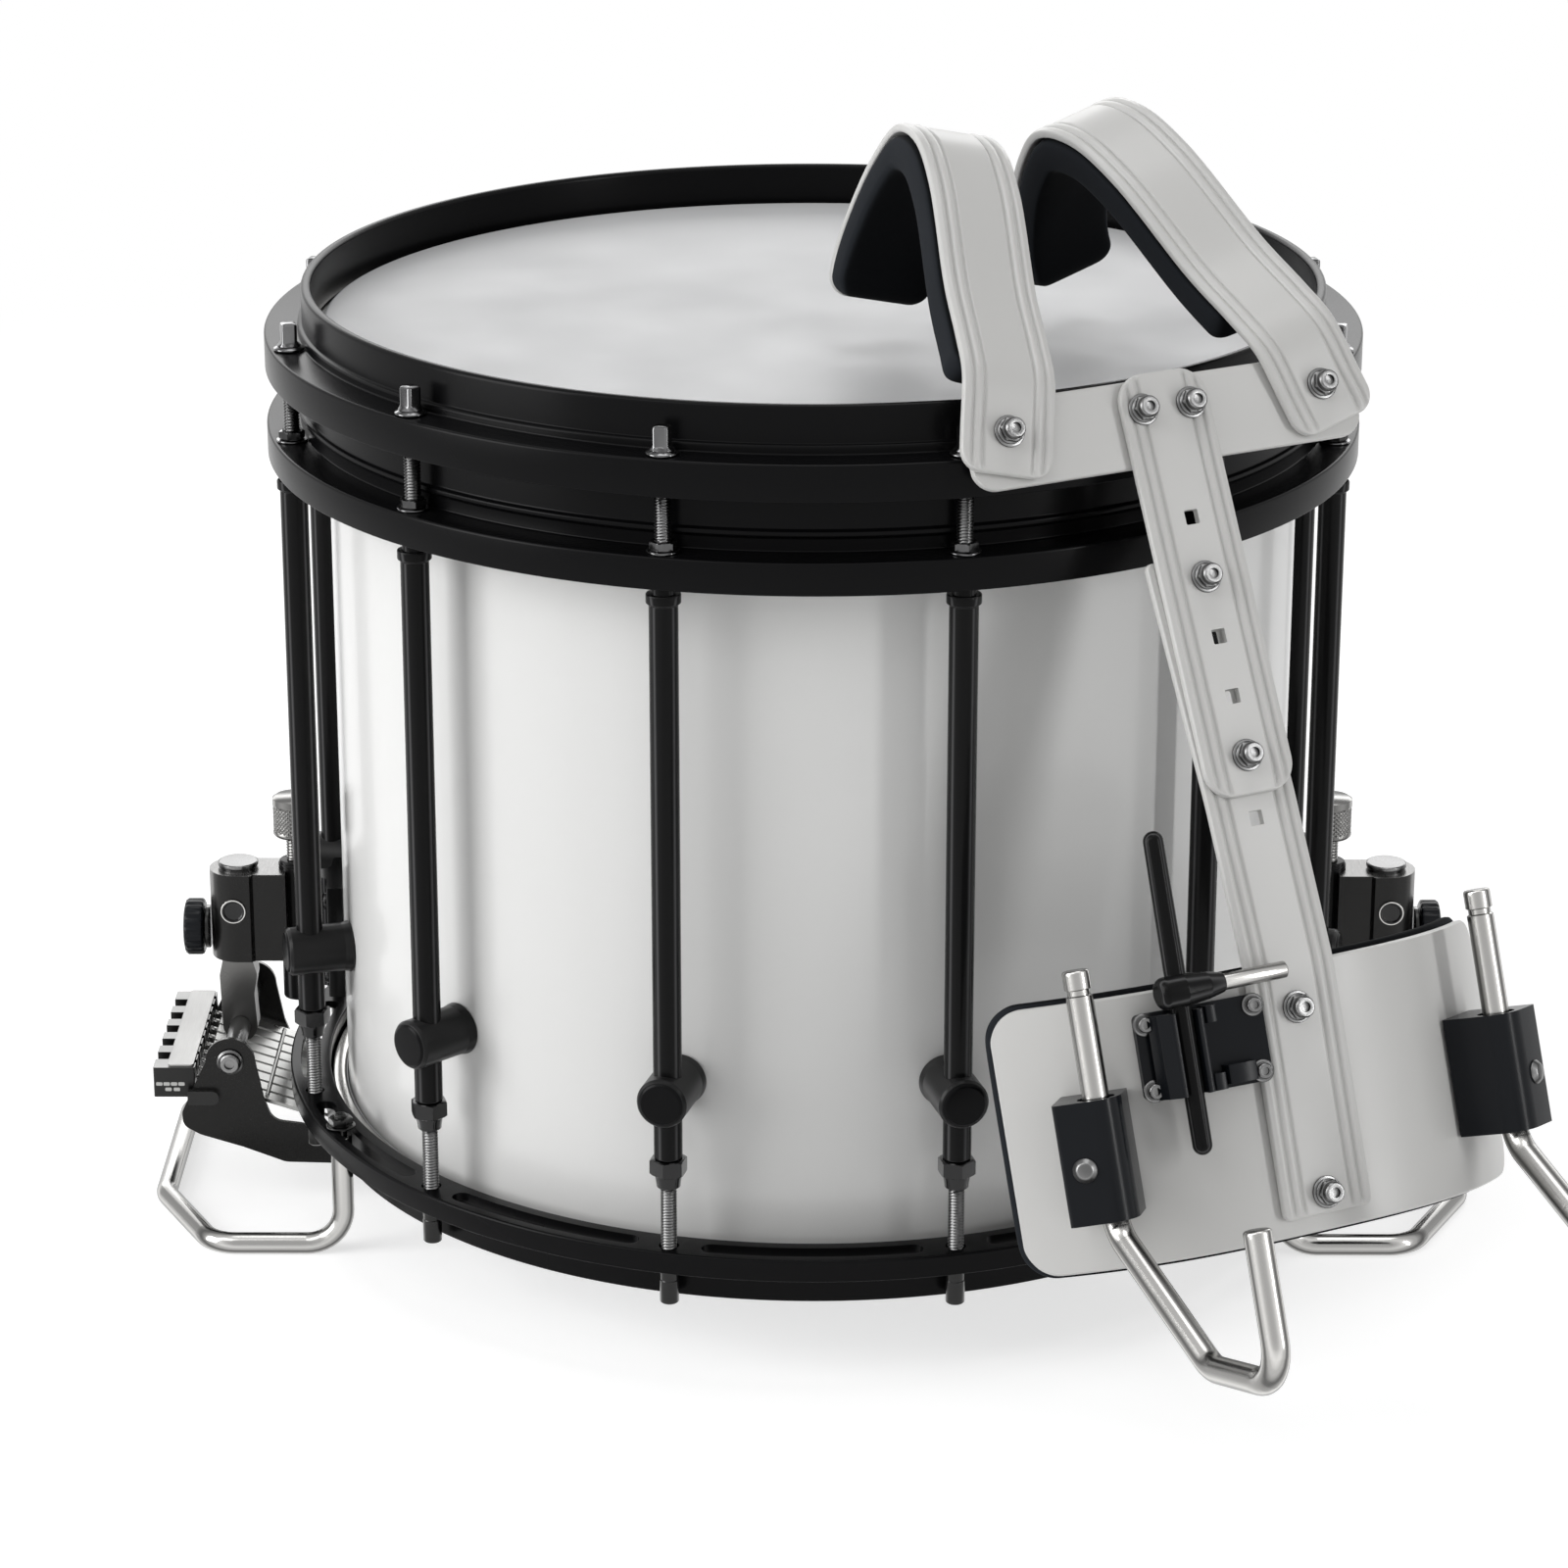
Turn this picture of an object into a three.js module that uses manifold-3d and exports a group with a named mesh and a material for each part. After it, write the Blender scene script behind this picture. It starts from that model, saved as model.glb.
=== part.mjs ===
// Marching snare drum, 14 in across and 12 in deep, with its shoulder carrier leaning on the batter hoop.
// Millimetres, +Z up. The origin is the middle of the batter head's playing face, and the front is -Y.
// Radii are measured from the drum's axis, and heights from the playing face: those below it are negative.

import * as THREE from 'three';
import { mergeVertices } from 'three/addons/utils/BufferGeometryUtils.js';
import Module from 'manifold-3d';

const wasm = await Module();
wasm.setup();

// Fits and counts that many pieces share
const fit = 0.3;                      // gap that touching pieces keep
const running = 0.5;                  // gap round a thing that turns or slides
const overrun = 2;                    // how far a cutter runs past the face it cuts
const ringSides = 36;                 // facets round the drum: each lug stands at the middle of one
const lugCount = 12;

// Shell: a ply cylinder with a cut bearing edge at both ends
const shellRadius = 178;
const shellWall = 6;
const shellDepth = 305;
const bearingCut = 4;

// Heads: a film drawn over the edge and held in a flesh hoop
const filmThickness = 0.5;
const collarGap = 0.4;                // shell to the film that hangs over its edge
const collarRound = 1;
const fleshWidth = 5.3;
const fleshHeight = 8.7;
const fleshDrop = 4.3;                // playing face down to the top of the flesh hoop

// Hoops: rolled rings with a wall, a flange that the rods pass and a skirt at its edge
const wallThickness = 2.7;
const wallGap = 0.6;                  // flesh hoop to the wall round it
const flangeThickness = 3;
const skirtThickness = 1.3;
const edgeRound = 0.8;
const rodStandOff = 15.4;             // shell to the rods' axes
const flangeReach = 6.6;              // rods' axes to the outside of the hoops

const rimHeight = 14.5;               // batter hoop above the playing face
const rimThickness = 3.6;
const rimRound = 1.2;
const beadHeight = 2.2;               // rolled bead above the batter flange
const beadReach = 1.3;
const batterFlange = -2;              // top face of the batter flange
const batterSkirt = 13;               // skirt below the top face of its flange

const floatFlange = -35.5;            // top face of the floating ring's flange
const floatSkirt = 11.5;
const floatWallTop = -9;
const floatBead = -28;
const webTop = -14.5;                 // web that holds the shell's upper end
const webThickness = 4;

const snareFlangeRise = 18.3;         // snare hoop's flange above the snare head's face
const snareSkirt = 8;
const snareDrop = 3.2;                // snare hoop past the snare head's face
const slotHalfAngle = 11.6;           // degrees
const slotInset = 1.6;                // wall to the slot
const slotWidth = 7;
const gateHalf = 38;                  // snare gates, where the strands pass the hoop
const gateRise = 3.2;

// Tension rods and lugs
const rodRadius = 3;
const holeRadius = rodRadius + running;
const rodWasherRadius = 5.6;
const rodWasher = 1.6;
const rodHeadRadius = 3.9;            // square head, across its corners from the axis
const rodHeadHeight = 8.1;
const rodReach = 22;                  // batter rod inside the lug tube
const tubeRadius = 5;
const spigotRadius = 4.2;             // tube above its ferrule, inside the ring's skirt
const tubeRise = 52;                  // rises are heights above the snare head's face
const tubeBore = rodRadius + running;
const ferruleRadius = 6;
const ferruleTop = -49.7;
const ferruleHeight = 3.3;
const bossRise = 75.1;
const bossRadius = 9;
const bossStandOff = 24;              // stand-offs are distances out from the shell
const swivelNutFlat = 5.85;
const swivelNutHeight = 6.1;
const swivelCollar = 4.25;
const swivelCollarHeight = 4.8;
const lowerWasherRadius = 4.2;
const lowerHeadRadius = 3.4;
const lowerRodDrop = 3.3;
const lowerHeadHeight = 9;

// Guards: bent rods under both strainers, which the drum stands on
const guardRadius = 4;
const guardBarY = 84.5;
const guardShoulder = 45;
const guardStandOff = 68;
const guardOuterY = 40;
const guardDrop = 51.1;               // underside of the guard below the snare hoop's flange
const guardBend = 14;
const guardFlat = 0.5;
const studRadius = 2.2;
const guardNutRadius = 4.6;
const guardNutHeight = 4;

// Strainers
const postStandOff = 18.8;
const postRadius = 6;
const postRise = 92.6;
const postHeight = 56;
const saddleHeight = 44;
const saddleHalf = 17;
const saddleThickness = 3;
const knurlRadius = 7.8;
const knurlHeight = 15.8;
const knurlCount = 20;
const knurlDepth = 0.7;
const knobStemRadius = 3.2;
const knobStemHeight = 9.5;
const blockRise = 89.3;
const blockHeight = 35;
const blockStandOff = 40.5;
const blockRadius = 11;
const blockNeckHalf = 9.4;
const capRadius = 7.6;
const capHeight = 2.6;
const pinStandOff = 41.8;
const pinRise = 75.2;
const pinRadius = 2.6;
const pinHeadRadius = 4.7;
const pinHeadHeight = 0.9;
const tensionRise = 64.9;
const tensionRadius = 10.8;
const tensionWidth = 5.4;
const tensionStemRadius = 4.2;
const tensionStem = 4.4;
const armHalf = 4.6;
const armEye = 5.4;
const armWidth = 14.4;
const armFootRadius = 6.6;
const slotReach = 1.4;                // room for the arm's swing inside the block
const pivotStandOff = 41.6;
const pivotRise = 25.7;
const pivotRadius = 2.5;
const pivotHeadRadius = 5;
const pivotHeadHeight = 3;

// Cradle: two side plates and the comb that holds the strands
const plateY = 38.6;
const plateThickness = 1.8;
const plateLobe = 9.3;
const combStandOff = 55.4;
const combLip = 2.2;
const combPocket = 6.2;
const combWall = 7.4;
const combRise = 22.4;
const combHeight = 12;
const combTines = 5;
const combSlotWidth = 5;
const combSlotDepth = 7.8;
const crossBarRadius = 2.6;
const footShares = [-4.7, -3.85];     // cross bar from the pivot, in lobes
// Side plate below its lobe, from the pivot and in lobes: outwards and up
const plateShares = [
  [-1.3, -1.6],
  [-1.65, -2.59],
  [-2.86, -2.75],
  [-3.61, -3.27],
  [-5.12, -3.43],
  [-5.12, -4.13],
  [-4.47, -4.49],
  [-2.12, -4.43],
  [-0.42, -3.77],
  [1.32, -3.22],
  [2.02, -2.82],
  [2.04, -2.22],
];

// Snare strands
const strandCount = 9;
const strandPitch = 8;
const strandWidth = 1.3;
const strandTurn = 3;                 // stand-off where the strands start to rise
const strandEnd = 58.9;
const strandRiseShare = 0.33;         // rise share of the run to the comb
const strandBarWidth = 2;
const ribStandOff = 29;
const ribWidth = 2;

// Carrier: where it leans, and its sizes in its own frame
const carrierAzimuth = 35;            // degrees round the drum from its front
const carrierStandOff = 24;
const carrierHeight = 8.8;
const carrierTurn = 24;               // degrees about the vertical
const carrierLean = 27.7;
const carrierRoll = 1.7;
const sheet = 3;                      // painted sheet of the whole carrier
const barHalf = 73;
const barTop = 10;
const barHeight = 29.4;
const barCorner = 8;
const slatHalf = 16.5;
const slatTop = 11.5;
const upperSlatFoot = -133;
const lowerSlatTop = -51.4;
const slatCorner = 10;
const holePitch = 20.4;
const firstHole = -38.7;
const upperHoleRows = [0, 2, 3];      // the other rows hold the spine's bolts
const lowerHoleRows = [2, 3, 5];
const holeSide = 5;
const bendHeight = -190;              // where the lower slat bends back
const bendAngle = 8;
const lowerSlatLength = 83;

const strapBoltX = 59;
const strapBoltDrop = 1.2;
const strapSwing = 15.5;              // degrees that each strap leans inwards
const strapHalf = 17;
const strapTail = 14.5;
const strapFlat = 18.5;               // flat foot of the strap above its bolt
const strapCorner = 7;
const strapSteps = 26;
const archDepth = 126;
const archHeight = 121;
// The arch above the bolt, as shares of its depth and height
const archShares = [
  [0.045, 0.26],
  [0.135, 0.43],
  [0.27, 0.773],
  [0.38, 0.926],
  [0.524, 1],
  [0.667, 0.967],
  [0.81, 0.884],
  [0.94, 0.76],
  [1, 0.62],
];
const padThickness = 13;
const padHalf = 17.5;
const padStartShare = 0.2;
const padEndShare = 0.995;
const padSides = 12;
const padSteps = 12;
const padFullnessShare = 0.55;        // power share of the section: less is squarer
const padEndPower = 5;
const padEndMarginShare = 0.008;      // share of the length where the end faces lie

const bellyHalf = 93;
const bellySag = 38;
const bellyHeight = 89;
const bellyCorner = 12;
const bellySteps = 14;
const bellyPadThickness = 7;
const bellyPadMargin = 3.5;

const rodInset = 17;                  // belly plate's side to the hook rod
const rodOut = -0.5;
const jRadius = 4.5;
const jTop = 12;
const jKnee = -74;
const jHeelOut = 52;
const jHeelDrop = -115;
const jTipOut = 97;
const jBottom = -117;
const jTipTop = -68;
const jBend = 14;
const jGroove = 1;
const jGrooveWidth = 4;
const jGrooveDrop = 6;
const holderTop = -30;
const holderHeight = 40;
const holderHalf = 11;
const holderInset = 24;
const holderDepth = 25;
const holderCorner = 3;

const clampSpine = 13;                // spine's middle to the clamp's near end
const clampInset = 36;                // belly plate's side to its far end
const clampTop = -6.5;
const clampHeight = 29;
const clampThickness = 2;
const clampCorner = 3;
const clampRise = 2.7;                // the plate stands clear of the spine on a packing
const packingShort = 6;               // packing's end short of the spine
const channelHalf = 7;
const channelFront = 5.2;
const channelInset = 3;
const tRodShift = 8.5;                // clamp's middle to the T rod
const tRodOut = 5.2;
const tRodRadius = 3.2;
const tRodTop = 52;
const tRodFoot = -55;
const tRodWaist = 4;
const tRodTip = 2.4;
const sleeveRadius = 4.4;
const sleeveHeight = -0.6;
const sleeveFar = 9;
const sleeveNear = 15;
const crossPinRadius = 2.4;
const crossPinEnd = -4.6;
const sleeveOut = 7.6;

// Levels and radii that follow from the sizes above
const shellTop = -filmThickness - fit;
const shellFoot = shellTop - shellDepth;
const snareFace = shellFoot - fit - filmThickness;
const filmInner = shellRadius + collarGap;
const filmOuter = filmInner + filmThickness;
const fleshOuter = filmOuter + fleshWidth;
const wallInner = fleshOuter + wallGap;
const wallOuter = wallInner + wallThickness;
const rodCircle = shellRadius + rodStandOff;
const hoopOuter = rodCircle + flangeReach;
const skirtInner = hoopOuter - skirtThickness;
const rimOuter = wallOuter - beadReach;
const rimInner = rimOuter - rimThickness;
const snareFlange = snareFace + snareFlangeRise;
const tubeFoot = snareFace + tubeRise;
const bossHeight = snareFace + bossRise;
const lowerRodFoot = snareFace - lowerRodDrop;
const guardLegX = Math.sqrt(rodCircle ** 2 - guardBarY ** 2);
const guardShoulderX = shellRadius + guardShoulder;
const guardOuterX = shellRadius + guardStandOff;
const postX = shellRadius + postStandOff;
const postTop = snareFace + postRise;
const blockX = shellRadius + blockStandOff;
const blockTop = snareFace + blockRise;
const pinX = shellRadius + pinStandOff;
const pinHeight = snareFace + pinRise;
const tensionHeight = snareFace + tensionRise;
const pivotX = shellRadius + pivotStandOff;
const pivotHeight = snareFace + pivotRise;
const combInner = shellRadius + combStandOff;
const combTop = snareFace + combRise;
const strandTurnX = shellRadius + strandTurn;
const strandEndX = shellRadius + strandEnd;
const ribX = shellRadius + ribStandOff;
const rodX = bellyHalf - rodInset;
const holderSeatX = bellyHalf - holderInset;
const clampHalf = (bellyHalf - clampInset - clampSpine) / 2;
const clampX = -clampSpine - clampHalf;
const tRodX = clampX - tRodShift;
const sleeveLeft = tRodX - sleeveFar;
const sleeveRight = tRodX + sleeveNear;
const strandFace = snareFace - fit;
const strandBand = (strandCount - 1) / 2 * strandPitch;
const strandPlaces = Array.from({ length: strandCount }, (_, i) => i * strandPitch - strandBand);
const lugAngles = Array.from({ length: lugCount }, (_, i) => (i + 1 / 2) * 2 * Math.PI / lugCount);

// Materials
function finish(color, roughness, metalness) {
  return new THREE.MeshStandardMaterial({ color, roughness, metalness });
}
const whiteLacquer = finish(0xdfdfe0, 0.18, 0);
const headFilm = finish(0xb9bbbd, 0.5, 0);
const blackPaint = finish(0x151516, 0.35, 0.2);
const darkChrome = finish(0x4a4a4d, 0.25, 1);
const silver = finish(0xb8b8ba, 0.25, 1);
const gunmetal = finish(0x3b3a3a, 0.3, 0.9);
const blackPlastic = finish(0x111214, 0.4, 0);
const whitePaint = finish(0xe3e1dd, 0.4, 0);
const foam = finish(0x14161c, 0.9, 0);

// Geometry helpers
const radians = THREE.MathUtils.degToRad;

function closedPath(points) {
  const path = points.map(([r, z]) => new THREE.Vector2(r, z));
  path.push(path[0].clone());
  return path;
}

function openPath(points) {
  return points.map(([r, z]) => new THREE.Vector2(r, z));
}

// A profile of radius and height, turned about Z
function revolve(path, sides) {
  return new THREE.LatheGeometry(path, sides).rotateX(Math.PI / 2);
}

// A profile of offset and height, turned about a short vertical axis of its own
function turned(points, sides) {
  return revolve(openPath(points), sides);
}

function polygon(points) {
  return new THREE.Shape(points.map(([x, y]) => new THREE.Vector2(x, y)));
}

// An outline drawn in X and Y, raised from one height by a depth
function raised(shape, from, depth, curveSteps = 4) {
  return new THREE.ExtrudeGeometry(shape, { depth, bevelEnabled: false, curveSegments: curveSteps })
    .translate(0, 0, from);
}

// An outline drawn in X and Z, with its thickness along Y
function upright(shape, fromY, depth, curveSteps = 4) {
  return new THREE.ExtrudeGeometry(shape, { depth, bevelEnabled: false, curveSegments: curveSteps })
    .rotateX(Math.PI / 2)
    .translate(0, fromY + depth, 0);
}

// An outline drawn in Y and Z, with its thickness along X
function sideways(shape, fromX, depth) {
  return new THREE.ExtrudeGeometry(shape, { depth, bevelEnabled: false })
    .rotateX(Math.PI / 2)
    .rotateZ(Math.PI / 2)
    .translate(fromX, 0, 0);
}

function block(x0, x1, y0, y1, z0, z1) {
  return new THREE.BoxGeometry(x1 - x0, y1 - y0, z1 - z0)
    .translate((x0 + x1) / 2, (y0 + y1) / 2, (z0 + z1) / 2);
}

// A round bar between two heights, standing on Z
function pillar(radius, z0, z1, sides) {
  return new THREE.CylinderGeometry(radius, radius, z1 - z0, sides)
    .rotateX(Math.PI / 2)
    .translate(0, 0, (z0 + z1) / 2);
}

// A round bar lying along X or along Y
function barAlongX(radius, x0, x1, sides) {
  return new THREE.CylinderGeometry(radius, radius, x1 - x0, sides)
    .rotateZ(Math.PI / 2)
    .translate((x0 + x1) / 2, 0, 0);
}

function barAlongY(radius, y0, y1, sides) {
  return new THREE.CylinderGeometry(radius, radius, y1 - y0, sides)
    .translate(0, (y0 + y1) / 2, 0);
}

function roundedPlate(x0, x1, z0, z1, corner) {
  const shape = new THREE.Shape();
  shape.moveTo(x0 + corner, z0);
  shape.lineTo(x1 - corner, z0);
  shape.absarc(x1 - corner, z0 + corner, corner, -Math.PI / 2, 0, false);
  shape.lineTo(x1, z1 - corner);
  shape.absarc(x1 - corner, z1 - corner, corner, 0, Math.PI / 2, false);
  shape.lineTo(x0 + corner, z1);
  shape.absarc(x0 + corner, z1 - corner, corner, Math.PI / 2, Math.PI, false);
  shape.lineTo(x0, z0 + corner);
  shape.absarc(x0 + corner, z0 + corner, corner, Math.PI, 3 * Math.PI / 2, false);
  return shape;
}

// The centre line of a bent rod: straight runs between corners, and an arc at each corner
class BentRod extends THREE.Curve {
  constructor(corners, bend, arcSteps) {
    super();
    const points = corners.map((c) => new THREE.Vector3(...c));
    this.stations = [];
    points.forEach((corner, i) => {
      const before = points[i - 1];
      const after = points[i + 1];
      if (!before || !after) {
        const other = before ?? after;
        const along = before ? corner.clone().sub(other) : other.clone().sub(corner);
        this.stations.push([corner, along.normalize()]);
        return;
      }
      const into = corner.clone().sub(before).normalize();
      const outOf = after.clone().sub(corner).normalize();
      const angle = into.angleTo(outOf);
      const side = outOf.clone().addScaledVector(into, -Math.cos(angle)).normalize();
      const start = corner.clone().addScaledVector(into, -bend * Math.tan(angle / 2));
      for (let step = 0; step <= arcSteps; step += 1) {
        const turn = angle * step / arcSteps;
        const place = start.clone().addScaledVector(into, bend * Math.sin(turn));
        place.addScaledVector(side, bend * (1 - Math.cos(turn)));
        const along = into.clone().multiplyScalar(Math.cos(turn)).addScaledVector(side, Math.sin(turn));
        this.stations.push([place, along]);
      }
    });
  }

  station(share) {
    return this.stations[Math.round(share * (this.stations.length - 1))];
  }

  getPointAt(share, target = new THREE.Vector3()) {
    return target.copy(this.station(share)[0]);
  }

  getTangentAt(share, target = new THREE.Vector3()) {
    return target.copy(this.station(share)[1]);
  }

  getPoint(share, target) {
    return this.getPointAt(share, target);
  }
}

function circle(radius, sides, turn = 0) {
  return polygon(Array.from({ length: sides }, (_, i) => {
    const angle = turn + 2 * Math.PI * i / sides;
    return [radius * Math.cos(angle), radius * Math.sin(angle)];
  }));
}

function alongRod(rod, section) {
  return new THREE.ExtrudeGeometry(section, {
    extrudePath: rod,
    steps: rod.stations.length - 1,
  });
}

// Joining and cutting
function solid(geometry) {
  const bare = geometry.index ? geometry.toNonIndexed() : geometry.clone();
  bare.deleteAttribute('normal');
  bare.deleteAttribute('uv');
  const merged = mergeVertices(bare, 1e-4);
  return new wasm.Manifold(new wasm.Mesh({
    numProp: 3,
    vertProperties: new Float32Array(merged.attributes.position.array),
    triVerts: new Uint32Array(merged.index.array),
  }));
}

function geometryOf(body) {
  const mesh = body.getMesh();
  const geometry = new THREE.BufferGeometry();
  geometry.setAttribute('position', new THREE.BufferAttribute(new Float32Array(mesh.vertProperties), 3));
  geometry.setIndex(new THREE.BufferAttribute(new Uint32Array(mesh.triVerts), 1));
  geometry.computeVertexNormals();
  return geometry;
}

function join(...geometries) {
  return geometries.map(solid).reduce((whole, next) => whole.add(next));
}

function cut(body, ...geometries) {
  return geometries.map(solid).reduce((rest, tool) => rest.subtract(tool), body);
}

const drum = new THREE.Group();

function place(name, geometry, material, parent = drum) {
  const mesh = new THREE.Mesh(geometry, material);
  mesh.name = name;
  parent.add(mesh);
  return mesh;
}

function aroundDrum(geometry, angle) {
  return geometry
    .translate(0, -rodCircle, 0)
    .rotateZ(angle);
}

// Shell, with bearing edges that slope inwards
place('shell', revolve(closedPath([
  [shellRadius - shellWall, shellFoot + bearingCut],
  [shellRadius - collarRound, shellFoot],
  [shellRadius, shellFoot + collarRound],
  [shellRadius, shellTop - collarRound],
  [shellRadius - collarRound, shellTop],
  [shellRadius - shellWall, shellTop - bearingCut],
]), ringSides), whiteLacquer);

// Heads: the snare head is the batter head turned over
function makeHead() {
  return turned([
    [0, -filmThickness],
    [filmInner, -filmThickness],
    [filmInner, -fleshDrop - fleshHeight],
    [fleshOuter, -fleshDrop - fleshHeight],
    [fleshOuter, -fleshDrop],
    [filmOuter, -fleshDrop],
    [filmOuter, 0],
    [0, 0],
  ], ringSides);
}

place('batter_head', makeHead(), headFilm);
const snareHead = place('snare_head', makeHead(), headFilm);
snareHead.rotation.x = Math.PI;
snareHead.position.z = snareFace;

// Batter hoop: the wall presses on the flesh hoop, and the flange takes the rods
function rodHoles(flangeTop, sides = 8) {
  return lugAngles.map((angle) => aroundDrum(
    pillar(holeRadius, flangeTop - flangeThickness - overrun, flangeTop + overrun, sides), angle));
}

const batterUnder = batterFlange - flangeThickness;
const batterHoop = solid(revolve(closedPath([
  [rimInner, fit - fleshDrop],
  [rimOuter, fit - fleshDrop],
  [rimOuter, batterUnder],
  [skirtInner, batterUnder],
  [skirtInner, batterFlange - batterSkirt],
  [hoopOuter, batterFlange - batterSkirt],
  [hoopOuter, batterFlange - edgeRound],
  [hoopOuter - edgeRound, batterFlange],
  [rimOuter, batterFlange],
  [rimOuter + beadReach, batterFlange + beadHeight],
  [rimOuter, batterFlange + 2 * beadHeight + beadReach],
  [rimOuter, rimHeight - rimRound],
  [rimOuter - rimRound, rimHeight],
  [rimInner, rimHeight],
]), ringSides));
place('batter_hoop', geometryOf(cut(batterHoop, ...rodHoles(batterFlange))), blackPaint);

// Floating ring: it carries the shell's upper end and the tops of the lug tubes
const floatUnder = floatFlange - flangeThickness;
const floatingRing = solid(revolve(closedPath([
  [filmInner, webTop - webThickness],
  [wallInner, webTop - webThickness],
  [wallInner, floatUnder],
  [skirtInner, floatUnder],
  [skirtInner, floatFlange - floatSkirt],
  [hoopOuter, floatFlange - floatSkirt],
  [hoopOuter, floatFlange - edgeRound],
  [hoopOuter - edgeRound, floatFlange],
  [wallOuter, floatFlange],
  [wallOuter, floatBead - beadHeight],
  [wallOuter + beadReach, floatBead - beadReach],
  [wallOuter, floatBead + beadReach],
  [wallOuter, floatWallTop],
  [wallInner, floatWallTop],
  [wallInner, webTop],
  [filmInner, webTop],
]), ringSides));
place('floating_ring', geometryOf(cut(floatingRing, ...rodHoles(floatFlange))), blackPaint);

// Snare hoop: slots between the rods, and a gate in the wall at each strainer
const snareUnder = snareFlange - flangeThickness;
const snareFoot = snareFace - snareDrop;
const ledgeTop = snareFace + fleshDrop - fit;
const snareHoop = solid(revolve(closedPath([
  [rimInner, snareFoot],
  [wallOuter, snareFoot],
  [wallOuter, snareUnder],
  [skirtInner, snareUnder],
  [skirtInner, snareFlange - snareSkirt],
  [hoopOuter, snareFlange - snareSkirt],
  [hoopOuter, snareFlange - edgeRound],
  [hoopOuter - edgeRound, snareFlange],
  [wallInner, snareFlange],
  [wallInner, ledgeTop],
  [rimInner, ledgeTop],
]), ringSides));

function flangeSlot(middle) {
  const half = radians(slotHalfAngle);
  const inner = wallOuter + slotInset;
  const shape = new THREE.Shape();
  shape.absarc(0, 0, inner + slotWidth, middle - half, middle + half, false);
  shape.absarc(0, 0, inner, middle + half, middle - half, true);
  return raised(shape, snareUnder - overrun, flangeThickness + 2 * overrun, 3);
}

const slots = lugAngles.map((angle) => flangeSlot(angle - Math.PI / lugCount));
const gates = [-1, 1].map((side) => block(
  Math.min(side * (rimInner - overrun - gateHalf), side * (wallOuter + overrun)),
  Math.max(side * (rimInner - overrun - gateHalf), side * (wallOuter + overrun)),
  -gateHalf, gateHalf, snareFoot - overrun, snareFace + gateRise));
place('snare_hoop', geometryOf(cut(snareHoop, ...rodHoles(snareFlange, 6), ...slots, ...gates)), blackPaint);

// Lug: a tube down to a boss on the shell, a swivel nut below it and the rod that holds the snare hoop
function makeLug() {
  const nutFoot = tubeFoot - swivelNutHeight;
  const collarFoot = nutFoot - swivelCollarHeight;
  const tubeTop = floatUnder - fit;
  const shellFlat = shellRadius * Math.cos(Math.PI / ringSides);
  const boreFoot = batterFlange - flangeThickness - (batterFlange - floatFlange) - rodReach - overrun;
  const tube = turned([
    [0, tubeFoot],
    [tubeRadius, tubeFoot],
    [tubeRadius, ferruleTop - ferruleHeight],
    [ferruleRadius, ferruleTop - ferruleHeight],
    [ferruleRadius, ferruleTop],
    [spigotRadius, ferruleTop],
    [spigotRadius, tubeTop],
    [tubeBore, tubeTop],
    [tubeBore, boreFoot],
    [0, boreFoot],
  ], 8);
  const washerTop = snareUnder - fit;
  const rod = turned([
    [0, lowerRodFoot],
    [lowerHeadRadius, lowerRodFoot],
    [lowerHeadRadius, lowerRodFoot + lowerHeadHeight],
    [lowerWasherRadius, washerTop - rodWasher],
    [lowerWasherRadius, washerTop],
    [rodRadius, washerTop],
    [rodRadius, collarFoot],
    [swivelCollar, collarFoot],
    [swivelCollar, nutFoot],
    [0, nutFoot],
  ], 6);
  const nut = pillar(swivelNutFlat * 2 / Math.sqrt(3), nutFoot, tubeFoot, 6);
  const boss = barAlongY(bossRadius, rodStandOff - bossStandOff, rodCircle - shellFlat - fit, 10)
    .translate(0, 0, bossHeight);
  return geometryOf(join(tube, nut, rod, boss));
}

const lugGeometry = makeLug();
lugAngles.forEach((angle, i) => {
  const lug = place(`lug_${String(i + 1).padStart(2, '0')}`, lugGeometry, blackPaint);
  lug.position.set(rodCircle * Math.sin(angle), -rodCircle * Math.cos(angle), 0);
  lug.rotation.z = angle;
});

// Batter tension rod: a square head and washer on the batter flange, and a shank into the lug tube
function makeTensionRod() {
  const seat = batterFlange + fit;
  const foot = floatUnder - rodReach;
  const shank = turned([
    [0, foot],
    [rodRadius, foot],
    [rodRadius, seat],
    [rodWasherRadius, seat],
    [rodWasherRadius, seat + rodWasher],
    [0, seat + rodWasher],
  ], 8);
  const head = pillar(rodHeadRadius, seat + rodWasher, seat + rodWasher + rodHeadHeight, 4);
  return geometryOf(join(shank, head));
}

const tensionRod = makeTensionRod();
lugAngles.forEach((angle, i) => {
  const rod = place(`tension_rod_${String(i + 1).padStart(2, '0')}`, tensionRod, darkChrome);
  rod.position.set(rodCircle * Math.sin(angle), -rodCircle * Math.cos(angle), 0);
  rod.rotation.z = angle;
});

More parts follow.
